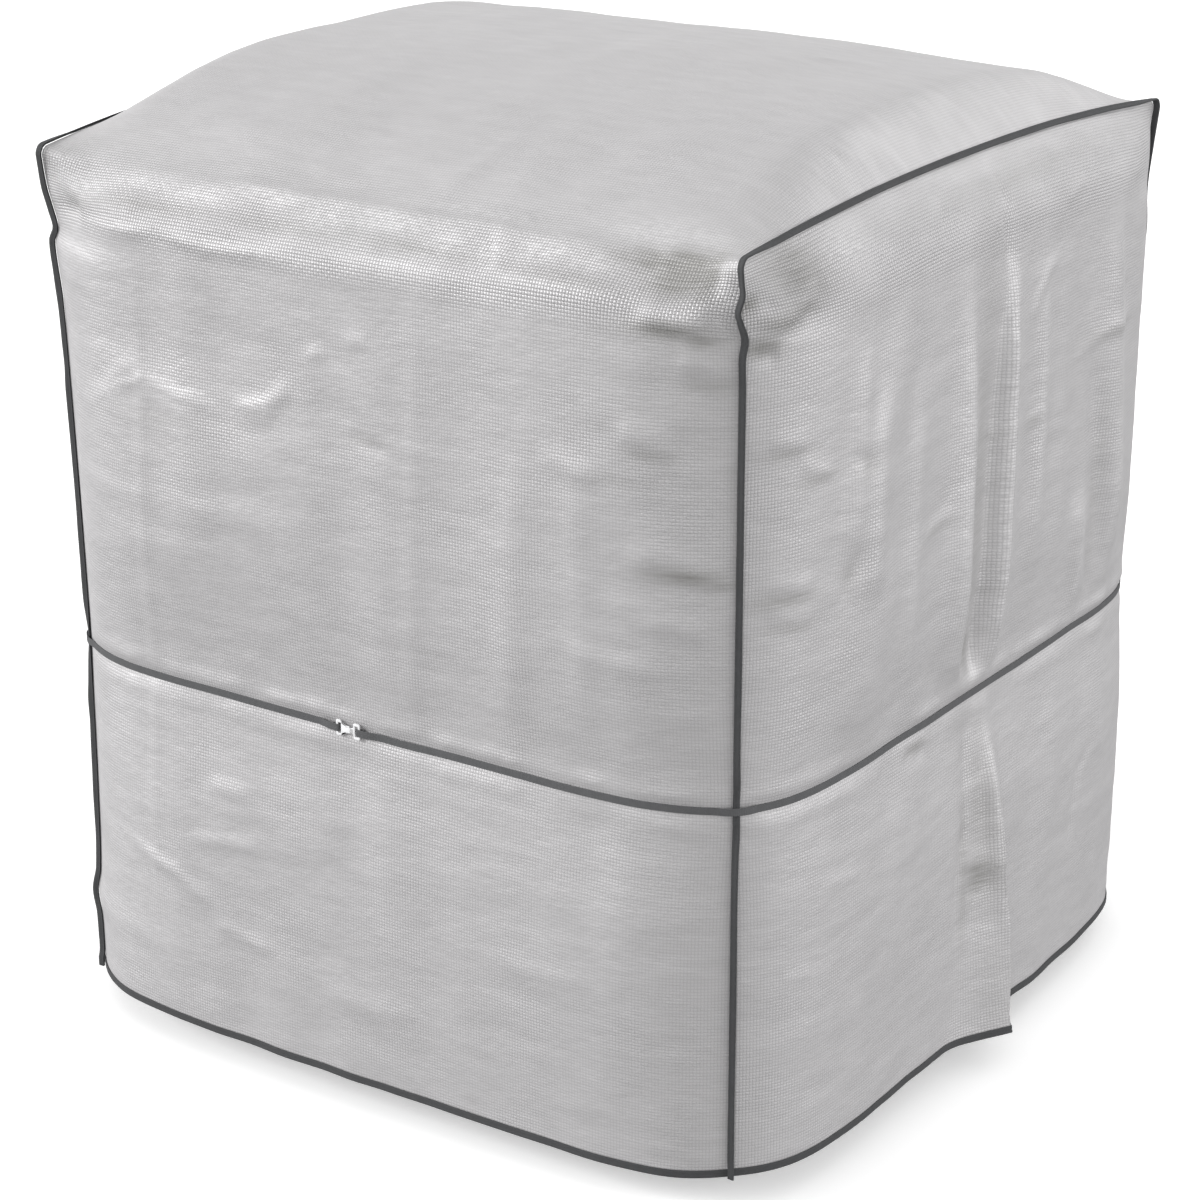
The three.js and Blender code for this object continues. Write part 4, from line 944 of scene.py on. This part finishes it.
def clothMaterial():
    finish = clothFinish
    material, tree, shader = newMaterial("woven sheet")
    uv = tree.nodes.new("ShaderNodeUVMap").outputs["UV"]
    place = tree.nodes.new("ShaderNodeTexCoord").outputs["Object"]
    along = separated(tree, uv)
    weave = weaveHeight(tree, along["X"], along["Y"], finish["pitch"])
    crumple = noise(tree, uv, *clothNoises["crumple"])
    fineCrumple = noise(tree, uv, *clothNoises["fineCrumple"])
    # The weave stands out in patches, and most of all along the shoulder
    patches = remap(tree, noise(tree, place, *clothNoises["patches"]), 0.38, 0.66, 0.3, 1.0)
    fromBand = calc(tree, "SUBTRACT", separated(tree, place)["Z"], hemLevel + finish["bandHeight"] * mm)
    band = remap(tree, calc(tree, "ABSOLUTE", fromBand), 0.015, 0.045, finish["bandWeave"], 0)
    woven = calc(tree, "MULTIPLY", weave, calc(tree, "ADD", patches, band))
    soft = bump(tree, crumple, *finish["crumpleBump"])
    soft = bump(tree, fineCrumple, *finish["fineBump"], soft)
    normal = bump(tree, woven, finish["weaveHeight"] * mm, 1.0, soft)
    tree.links.new(normal, shader.inputs["Normal"])
    tone = noise(tree, uv, *clothNoises["tone"])
    tone = calc(tree, "ADD", calc(tree, "MULTIPLY", tone, 0.5), calc(tree, "MULTIPLY", weave, 0.5))
    colour = greyRamp(tree, tone, finish["dark"], finish["light"])
    # Painted shade darkens the colour in streaks and dulls the coat; painted highlights lighten it in
    # specks on top of the tapes
    streaks = remap(tree, noise(tree, uv, *clothNoises["streaks"]), 0.35, 0.65, 0.55, 1.15)
    shade = calc(tree, "MINIMUM", calc(tree, "MULTIPLY", painted(tree, "paintedShade"), streaks), 1)
    highlightSpeckle = remap(tree, noise(tree, uv, *clothNoises["highlightSpeckle"]), 0.35, 0.65, 0.1, 1.1)
    highlightShare = calc(tree, "MINIMUM", calc(tree, "MULTIPLY", painted(tree, "paintedHighlight"), highlightSpeckle), 1)
    highlightShare = calc(tree, "MULTIPLY", highlightShare, remap(tree, weave, 0, 1, 0.3, 1))
    colour = blended(tree, highlightShare, colour, finish["paintedHighlight"])
    colour = blended(tree, shade, colour, finish["shaded"])
    tree.links.new(colour, shader.inputs["Base Color"])
    rough = remap(tree, crumple, 0.3, 0.7, finish["roughness"] - 0.06, finish["roughness"] + 0.08)
    tree.links.new(rough, shader.inputs["Roughness"])
    coat = calc(tree, "MULTIPLY", calc(tree, "SUBTRACT", 1, shade), finish["coat"])
    tree.links.new(coat, shader.inputs["Coat Weight"])
    shader.inputs["Metallic"].default_value = finish["metallic"]
    shader.inputs["Coat Roughness"].default_value = finish["coatRoughness"]
    return material


def tapeMaterial(name, dark, light, rib):
    material, tree, shader = newMaterial(name)
    uv = tree.nodes.new("ShaderNodeUVMap").outputs["UV"]
    split = separated(tree, uv)
    turns = 2 * math.pi / (rib * mm)
    across, along = (calc(tree, "SINE", calc(tree, "MULTIPLY", split[axis], turns)) for axis in "XY")
    ribs = calc(tree, "ADD", calc(tree, "MULTIPLY", across, along), along)
    fuzz = noise(tree, uv, 700, 3, 0.6)
    normal = bump(tree, ribs, 0.00012, 0.6, bump(tree, fuzz, 0.0002, 0.6))
    tree.links.new(normal, shader.inputs["Normal"])
    tone = noise(tree, uv, 90, 4, 0.65)
    tree.links.new(greyRamp(tree, tone, dark, light), shader.inputs["Base Color"])
    shader.inputs["Roughness"].default_value = 0.8
    return material


def plasticMaterial():
    material, tree, shader = newMaterial("clasp plastic")
    place = tree.nodes.new("ShaderNodeTexCoord").outputs["Object"]
    grain = noise(tree, place, 900, 2)
    tree.links.new(bump(tree, grain, 0.00004, 0.5), shader.inputs["Normal"])
    tone = noise(tree, place, 120, 2)
    milky = greyRamp(tree, tone, (0.78, 0.78, 0.79), (0.88, 0.88, 0.89))
    tree.links.new(milky, shader.inputs["Base Color"])
    shader.inputs["Roughness"].default_value = 0.25
    return material


cloth = clothMaterial()
tape = tapeMaterial("binding tape", (0.040, 0.041, 0.043), (0.062, 0.063, 0.066), 1.1)
webbing = tapeMaterial("strap webbing", (0.070, 0.071, 0.074), (0.105, 0.106, 0.110), 1.6)
threadFinish = tapeMaterial("sewing thread", (0.035, 0.036, 0.038), (0.055, 0.056, 0.058), 0.5)
plastic = plasticMaterial()
print("materials made")


frontRows = wallHeights(*sheet["frontSteps"])
backRows = wallHeights(*sheet["backSteps"])
topStops = crowded(sheet["topRows"])[1:-1]
stripRows = joinRows([
    wallRows(-1, frontRows),
    topRows(topStops),
    {key: value[::-1] for key, value in wallRows(1, backRows).items()},
])
stripAcross = crowded(sheet["stripColumns"])
sideRows = wallHeights(*sheet["rightSteps"])
leftRows = wallHeights(*sheet["leftSteps"])
rightStops = crowded(sheet["rightColumns"])
leftStops = crowded(sheet["leftColumns"])[::-1]


def makeSheets():
    made = {}
    strip = stripPoints(stripRows, stripAcross)
    made["strip"] = pushedOut(strip, stripRows["panel"], 11, stripAcross[None, :] + 0 * strip[..., 0])
    # The strip's shares of painted shade and painted highlights
    made["stripScuff"] = markShare(strip, stripRows["panel"], paintedShades)
    made["stripSheen"] = markShare(strip, stripRows["panel"], paintedHighlights)
    for name, sx, rows, stops, seed in (
        ("right", 1, sideRows, rightStops, 31),
        ("left", -1, leftRows, leftStops, 51),
    ):
        grid = sidePoints(sx, rows, stops)
        topShare = ease((rows - earTop) / sheet["fadeBelowArch"] + 1)[:, None]
        share = np.maximum(np.abs(stops)[None, :], topShare)
        panels = [name] * len(rows)
        made[name] = pushedOut(grid, panels, seed, share)
        # Each side panel's shares of painted shade and painted highlights
        made[name + "Scuff"] = markShare(grid, panels, paintedShades)
        made[name + "Sheen"] = markShare(grid, panels, paintedHighlights)
    return made


sheets = makeSheets()
for name, node, which in (
    ("coverStrip", "front_top_back_panel", "strip"),
    ("rightPanel", "right_panel", "right"),
    ("leftPanel", "left_panel", "left"),
):
    outer, u, v = sheets[which]
    inner = outer - gridNormals(outer) * sheet["thickness"]
    piece = finished(walledPiece(name, outer, inner, u, v), "cover_sheet", cloth, node)
    # The sheet carries its painted shade and painted highlights as point attributes
    paintMarks(piece, "paintedShade", sheets[which + "Scuff"])
    paintMarks(piece, "paintedHighlight", sheets[which + "Sheen"])
    print("made", name)


# Thin tape of a given thickness on a grid of points whose columns run round its section
def tapePiece(name, grid, thickness, centres):
    facing = ((grid - centres[:, None]) * gridNormals(grid)).sum()
    if facing < 0:
        grid = grid[:, ::-1]
    u, v = sheetLengths(grid)
    piece = gridPiece(name, grid, u, v)
    thicken(piece, thickness)
    bpy.ops.object.shade_smooth_by_angle(angle=math.radians(55))
    return piece


def smoothed(values, reach):
    padded = np.pad(values, ((reach, reach), (0, 0)), mode="edge")
    kernel = np.hanning(2 * reach + 3)[1:-1]
    kernel /= kernel.sum()
    return np.stack([np.convolve(column, kernel, "valid") for column in padded.T], axis=1)


# The seam bindings: a tape folded over both raw edges, which stands off the seam as a fin. The
# section's columns are the way along the fin and across it.
seamTape = {
    "half": 1.2,
    "root": 1.5,
    "gap": 0.3,
    "archLean": 9,
    "overHem": 1.5,
    "step": 5,
    "thickness": 0.5,
    "section": [
        (0, 1.0), (1.0, 1.2), (2.2, 0.9), (3.4, 1.2), (4.8, 1.25), (5.8, 1.15), (6.5, 0.75), (6.9, 0),
        (6.5, -0.75), (5.8, -1.15), (4.8, -1.25), (3.4, -1.2), (2.2, -0.9), (1.0, -1.2), (0, -1.0),
    ],
    "stitchAt": 2.2,
    "stitchProud": 0.95,
    "archStep": 0.0125,
    "earStep": 0.003,
    "earFrom": 0.955,
    "belowEar": 8,
    "plainBelow": 30,
}
neighbour = 0.985  # how far out the points beside the seam are taken, as a share of the panel


# Down the length of a seam: the seam, the strip and the side panel beside it, and the fin's lean
def seamPath(sx):
    low = evenSteps(-0.5, sharpTop - ear["radius"] - 1, seamTape["step"])
    heights = np.concatenate([low, evenSteps(low[-1], earTop, 1)[1:]])
    half = evenSteps(0, 1, seamTape["archStep"])
    nearEar = evenSteps(seamTape["earFrom"], 1, seamTape["earStep"])
    half = np.concatenate([half[half < seamTape["earFrom"]], nearEar[:-1]])
    stops = np.concatenate([-half[::-1], half[1:]])
    highest = earTop - seamTape["belowEar"]
    across = np.array([sx * neighbour])
    parts = []
    for sy in (-1, 1):
        z = heights if sy < 0 else heights[::-1]
        place = uprightPoint(sx, sy, z)
        strip = stripPoints(wallRows(sy, z), across)[:, 0]
        side = sidePoints(sx, np.minimum(z, highest), np.array([sy * neighbour]))[:, 0]
        lean = readTable(cornerOf(sx, sy), seamLean, z)
        parts.append((place, strip, side, lean))
    archLean = [readTable(cornerOf(sx, sy), seamLean, np.array([earTop]))[0] for sy in (-1, 1)]
    nearEarShare = ease((np.abs(stops) - 0.85) / 0.15)
    lean = mix(seamTape["archLean"], np.where(stops < 0, archLean[0], archLean[1]), nearEarShare)
    side = sidePoints(sx, np.array([highest]), np.clip(stops, -neighbour, neighbour))[0]
    over = (archPoint(sx, stops), stripPoints(topRows(stops), across)[:, 0], side, lean)
    return [np.concatenate([parts[0][k], over[k], parts[1][k]]) for k in range(4)]


def seamFrame(sx):
    place, strip, side, lean = seamPath(sx)
    forward = unit(np.gradient(place, axis=0))
    centre = place * (0.8, 0.8, 0.7)
    normals = []
    for edge in (place - strip, side - place):
        normal = unit(np.cross(forward, edge))
        outward = np.sign(((place - centre) * normal).sum(axis=1, keepdims=True))
        normals.append(normal * outward)
    out = unit(smoothed(unit(normals[0] + normals[1]), 3))
    toSide = side - strip
    for axis in (out, forward):
        toSide = toSide - (toSide * axis).sum(axis=1, keepdims=True) * axis
    return place, out, unit(smoothed(unit(toSide), 3)), lean


def seamTapeGrid(sx, seed):
    place, out, toSide, lean = seamFrame(sx)
    run = pathLengths(place)
    waver = softNoise(run, 0 * run, 70, 1, seed)
    ripple = softNoise(run, 0 * run, 26, 1, seed + 1)
    low = place[:, 2] < seamTape["plainBelow"]
    angle = np.radians(lean + np.where(low, 0, 4 * waver + 2.5 * ripple))[:, None]
    along = toSide * np.cos(angle) + out * np.sin(angle)
    across = out * np.cos(angle) - toSide * np.sin(angle)
    lift = seamTape["overHem"] * (1 - ease((place[:, 2] - 9) / 9))
    off = (seamTape["gap"] + lift)[:, None] + seamTape["half"] * np.cos(angle)
    root = place - toSide * seamTape["root"] + out * off
    section = np.array(seamTape["section"])
    stands = (1 + 0.03 * ripple[:, None, None]) * section[None, :, :1] * along[:, None]
    grid = root[:, None] + stands + section[None, :, 1:] * across[:, None]
    return grid, root + along * section[:, 0].max() / 2, along, across, root


# The hem bindings: a tape folded round the lower edge of each panel. The section's columns are
# the way out of the cloth and up from the hem.
hemTape = {
    "thickness": 0.5,
    "section": [
        (1.1, 8.5), (1.3, 7.4), (1.3, 6.0), (0.95, 4.4), (1.3, 3.0), (1.3, 1.5), (0.9, 0.55), (0.1, 0.05),
        (-1.4, 0.05), (-2.3, 0.55), (-2.75, 1.5), (-2.75, 3.0), (-2.4, 4.4), (-2.75, 6.0), (-2.5, 8.2),
    ],
    "stitchAt": 4.4,
}


def hemTapeGrid(outer, seed):
    base, upper = outer[:2]
    out = unit(gridNormals(outer)[0] * (1, 1, 0))
    section = np.array(hemTape["section"])
    run = pathLengths(base)
    ripple = softNoise(run, 0 * run, 30, 1, seed)
    share = ((section[None, :, 1] - base[:, None, 2]) / (upper - base)[:, None, 2])[..., None]
    grid = mix(base[:, None], upper[:, None], share)
    grid[..., 2] = section[None, :, 1]
    grid += out[:, None] * (section[None, :, :1] + 0.18 * ripple[:, None, None])
    return grid


# Lockstitches: one small stitch is modelled once, then laid along a line of points
thread = {"pitch": 3.6, "length": 2.5, "width": 0.5, "high": 0.36}


def stitchShape():
    bpy.ops.object.select_all(action="DESELECT")
    bpy.ops.mesh.primitive_uv_sphere_add(
        segments=6, ring_count=4, radius=0.5, rotation=(0, math.pi / 2, 0)
    )
    bpy.ops.object.transform_apply(rotation=True)
    shape = bpy.context.object
    places = np.array([vertex.co[:] for vertex in shape.data.vertices])
    faces = [list(polygon.vertices) for polygon in shape.data.polygons]
    bpy.data.objects.remove(shape)
    return places, faces


def stitchPiece(name, lines):
    places, faces = stitchShape()
    allPlaces, allFaces = [], []
    for points, outs in lines:
        run = pathLengths(points)
        at = np.arange(thread["pitch"] / 2, run[-1], thread["pitch"])
        centre = np.stack([np.interp(at, run, column) for column in points.T], axis=1)
        out = unit(np.stack([np.interp(at, run, column) for column in outs.T], axis=1))
        forward = unit(np.gradient(centre, axis=0))
        side = unit(np.cross(out, forward))
        for c, f, s, o in zip(centre, forward, side, out):
            shaped = places * (thread["length"], thread["width"], thread["high"])
            start = len(allPlaces) * len(places)
            allPlaces.append(c + shaped[:, :1] * f + shaped[:, 1:2] * s + shaped[:, 2:] * o)
            allFaces += [[start + k for k in face] for face in faces]
    mesh = bpy.data.meshes.new(name)
    everywhere = np.concatenate(allPlaces) * mm + (0, 0, hemLevel)
    mesh.from_pydata(everywhere.tolist(), [], allFaces)
    mesh.shade_smooth()
    piece = bpy.data.objects.new(name, mesh)
    bpy.context.collection.objects.link(piece)
    return piece


seamStitches = []
for name, sx, node, seed in (
    ("rightSeamTape", 1, "right_seam_binding", 71),
    ("leftSeamTape", -1, "left_seam_binding", 81),
):
    grid, centres, along, across, root = seamTapeGrid(sx, seed)
    piece = tapePiece(name, grid, seamTape["thickness"], centres)
    finished(piece, "binding_tape", tape, node)
    for face in (1, -1):
        line = root + along * seamTape["stitchAt"] + across * (seamTape["stitchProud"] * face)
        seamStitches.append((line, across * face))
    print("made", name)
finished(stitchPiece("seamStitches", seamStitches), "binding_tape", threadFinish)

hemStitches = []
for name, outer, node, seed in (
    ("frontHemTape", sheets["strip"][0], "front_hem_binding", 91),
    ("backHemTape", sheets["strip"][0][::-1], "back_hem_binding", 93),
    ("rightHemTape", sheets["right"][0], "right_hem_binding", 95),
    ("leftHemTape", sheets["left"][0], "left_hem_binding", 97),
):
    if name == "backHemTape":
        outer = outer[:, ::-1]
    grid = hemTapeGrid(outer, seed)
    centres = grid.mean(axis=1)
    piece = tapePiece(name, grid, hemTape["thickness"], centres)
    finished(piece, "binding_tape", tape, node)
    column = [row[1] for row in hemTape["section"]].index(hemTape["stitchAt"])
    hemStitches.append((grid[:, column], unit(grid[:, column] - centres)))
    print("made", name)
finished(stitchPiece("hemStitches", hemStitches), "binding_tape", threadFinish)

# The waist strap: webbing that climbs over each seam and turns round a bar of the clasp
strap = {
    "width": 7.4,
    "thickness": 1,
    "proud": 0.7,
    "overSeam": 2.9,
    "seamReach": 7,
    "climb": 16,
    "turnedIn": 7,
    "edge": 0.28,
}
clasp = {
    "left": -30,
    "right": -1,
    "bar": 2.4,
    "plate": 1.4,
    "proud": 1.6,
    "near": 5,
    "far": 24,
    "onFront": 400,
    "gap": 0.3,
    "rounding": 0.3,
}


def ringRow(name, heights):
    outer = sheets[name][0]
    index = int(np.argmin(np.abs(heights - waist["height"])))
    return outer[index], unit(gridNormals(outer)[index] * (1, 1, 0))


# Once round the waist from the middle of the front: the cloth, the way out, and how far the strap
# lies off it, more where it climbs over a seam's fin
def strapAround():
    front = ringRow("strip", stripRows["middle"][: len(frontRows), 2])
    right = ringRow("right", sideRows)
    left = ringRow("left", leftRows)
    backHeights = np.concatenate([0 * frontRows, 0 * topStops, stripRows["middle"][-len(backRows):, 2]])
    back = [part[::-1] for part in ringRow("strip", backHeights)]
    points, outs, seamAt = [], [], []
    middle = len(stripAcross) // 2
    for place, out in ((front[0][middle:], front[1][middle:]), right, back, left,
                       (front[0][: middle + 1], front[1][: middle + 1])):
        points.append(place[:-1])
        outs.append(out[:-1])
        seamAt.append(len(place) - 1)
    points, outs = np.concatenate(points), np.concatenate(outs)
    run = pathLengths(points)
    seamRuns = run[np.cumsum(seamAt)[:4]]
    outs = unit(smoothed(outs, 3))
    off = np.full(len(run), float(strap["proud"]))
    for k, at in enumerate(seamRuns):
        towardsSide = 3 if k % 2 == 0 else -3
        far = np.abs(run - at - towardsSide) - strap["seamReach"]
        off += strap["overSeam"] * ease(1 - far / strap["climb"])
    return points, outs, off


# The strap's turn round a bar of the clasp, and its tail behind the plate
def strapLoop(barEdge, towards):
    hubY = -(wallDepth(waist["height"]) + clasp["proud"] + clasp["plate"] / 2)
    angles = np.radians(np.arange(0, 181, 15))
    out = vectors(np.sin(angles) * towards, -np.cos(angles), 0 * angles)
    hub = vectors(barEdge + 0 * angles, hubY, waist["height"])
    ends = [barEdge - towards * d for d in (3, strap["turnedIn"])]
    hub = np.concatenate([hub, vectors(np.array(ends), hubY, waist["height"])])
    out = np.concatenate([out, out[-1:], out[-1:]])
    return hub, out, np.full(len(hub), clasp["plate"] / 2 + clasp["gap"])


def strapGrid():
    points, outs, off = strapAround()
    near = clasp["proud"] + clasp["plate"] + clasp["gap"]
    x, front = points[:, 0], points[:, 1] < -clasp["onFront"]
    rightWay = x - clasp["right"]
    leftWay = clasp["left"] - x
    keep = ~(front & (rightWay < clasp["near"]) & (leftWay < clasp["near"]))
    for way in (rightWay, leftWay):
        beside = front & (way >= clasp["near"]) & (way < clasp["far"])
        rise = near - off + (wallDepth(waist["height"]) + points[:, 1])
        share = 1 - ease((way - clasp["near"]) / (clasp["far"] - clasp["near"]))
        off = np.where(beside, off + rise * share, off)
    points, outs, off = points[keep], outs[keep], off[keep]
    front = points[:, 1] < -clasp["onFront"]
    start = int(np.argmax((points[:, 0] > clasp["right"]) & front))
    points, outs, off = (np.roll(part, -start, axis=0) for part in (points, outs, off))
    first = [part[::-1] for part in strapLoop(clasp["right"] - clasp["bar"], -1)]
    last = strapLoop(clasp["left"] + clasp["bar"], 1)
    points = np.concatenate([first[0], points, last[0]])
    outs = np.concatenate([first[1], outs, last[1]])
    off = np.concatenate([first[2], off, last[2]])[:, None, None]
    run = pathLengths(points)
    droop = 0.5 * softNoise(run, 0 * run, 60, 1, 101)
    across = np.linspace(strap["width"] / 2, -strap["width"] / 2, 5)
    height = waist["height"] + across[None] + droop[:, None]
    lines = points[:, None] * (1, 1, 0) + vectors(0 * height, 0, height)
    inner = lines + outs[:, None] * off
    outer = lines + outs[:, None] * (off + strap["thickness"])
    return outer, inner, across[None, :] + 0 * run[:, None], run[:, None] + 0 * across[None, :]


outer, inner, u, v = strapGrid()
piece = walledPiece("waistStrap", outer, inner, u, v, 40)
roundEdges(piece, strap["edge"], 2, 60)
finished(piece, "webbing", webbing, "waist_strap")
print("made waistStrap")

# The clasp's halves: copies of their solids with rounded edges
def moulded(name, node):
    half = frame["nodes"][node].copy()
    half.data = half.data.copy()
    half.name = name
    del half["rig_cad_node"]
    bpy.context.collection.objects.link(half)
    bpy.ops.object.select_all(action="DESELECT")
    half.select_set(True)
    bpy.context.view_layer.objects.active = half
    bpy.ops.object.mode_set(mode="EDIT")
    bpy.ops.mesh.select_all(action="SELECT")
    bpy.ops.mesh.remove_doubles(threshold=1e-6)
    bpy.ops.mesh.dissolve_limited(angle_limit=math.radians(2))
    bpy.ops.object.mode_set(mode="OBJECT")
    roundEdges(half, clasp["rounding"], 3, 35)
    bpy.ops.object.shade_smooth_by_angle(angle=math.radians(50))
    return finished(half, "clasp_plastic", plastic, node)


moulded("claspRing", "clasp_ring")
moulded("claspHook", "clasp_hook")
print("made the clasp")

# Floor, light and air
studio = {
    "floorDrop": 0.030,
    "floorSize": 80,
    "floor": 0.9,
    "floorGlow": 0.3,
    "below": 0.4,
    "horizon": 0.95,
    "zenith": 0.58,
    "suns": [
        {"name": "frontKey", "azimuth": 20, "elevation": 20, "angle": 16, "power": 0.4},
        {"name": "leftKey", "azimuth": -58, "elevation": 20, "angle": 30, "power": 2.75},
        {"name": "rightKey", "azimuth": 108, "elevation": 14, "angle": 34, "power": 1.52},
    ],
    "boxes": [
        {"name": "overLeft", "place": (-1.7, -0.6, 2.3), "size": 1.5, "power": 5.2},
        {"name": "behindRight", "place": (0.8, 2.6, 1.5), "size": 1.6, "power": 12},
    ],
}


def makeFloor():
    bpy.ops.object.select_all(action="DESELECT")
    bpy.ops.mesh.primitive_plane_add(
        size=studio["floorSize"], location=(0, 0, hemLevel - studio["floorDrop"])
    )
    floor = bpy.context.object
    floor.name = "floor"
    material, tree, shader = newMaterial("pale floor")
    place = tree.nodes.new("ShaderNodeTexCoord").outputs["Object"]
    tone = noise(tree, place, 3, 2)
    pale = greyRamp(tree, tone, (studio["floor"],) * 3, (studio["floor"] + 0.01,) * 3)
    tree.links.new(pale, shader.inputs["Base Color"])
    shader.inputs["Roughness"].default_value = 0.9
    shader.inputs["Emission Color"].default_value = (1, 1, 1, 1)
    shader.inputs["Emission Strength"].default_value = studio["floorGlow"]
    floor.data.materials.append(material)
    # The floor is seen and takes the shadow, but throws no light back up at the cover
    floor.visible_diffuse = False
    floor.visible_glossy = False


def makeAir():
    world = bpy.data.worlds.new("soft air")
    world.use_nodes = True
    air = world.node_tree
    around = air.nodes.new("ShaderNodeTexCoord").outputs["Generated"]
    split = air.nodes.new("ShaderNodeSeparateXYZ")
    air.links.new(around, split.inputs["Vector"])
    above = remap(air, split.outputs["Z"], 0.25, 0.95, studio["horizon"], studio["zenith"])
    dim = remap(air, split.outputs["Z"], -0.2, 0.1, studio["below"] / studio["horizon"], 1)
    seen = air.nodes.new("ShaderNodeLightPath").outputs["Is Camera Ray"]
    strength = calc(air, "MAXIMUM", calc(air, "MULTIPLY", above, dim), seen)
    air.links.new(strength, air.nodes["Background"].inputs["Strength"])
    air.nodes["Background"].inputs["Color"].default_value = (1, 1, 1, 1)
    bpy.context.scene.world = world


def makeLights():
    for key in studio["suns"]:
        bpy.ops.object.light_add(type="SUN")
        sun = bpy.context.object
        sun.name = key["name"]
        sun.data.angle = math.radians(key["angle"])
        sun.data.energy = key["power"]
        sun.rotation_euler = (math.radians(90 - key["elevation"]), 0, math.radians(key["azimuth"]))
    for lamp in studio["boxes"]:
        bpy.ops.object.light_add(type="AREA", location=lamp["place"])
        light = bpy.context.object
        light.name = lamp["name"]
        light.data.shape = "DISK"
        light.data.size = lamp["size"]
        light.data.energy = lamp["power"]
        pointAt(light, (0, 0, -0.2))
    bpy.context.scene.view_settings.view_transform = "Standard"


makeFloor()
makeAir()
makeLights()
print("studio set")
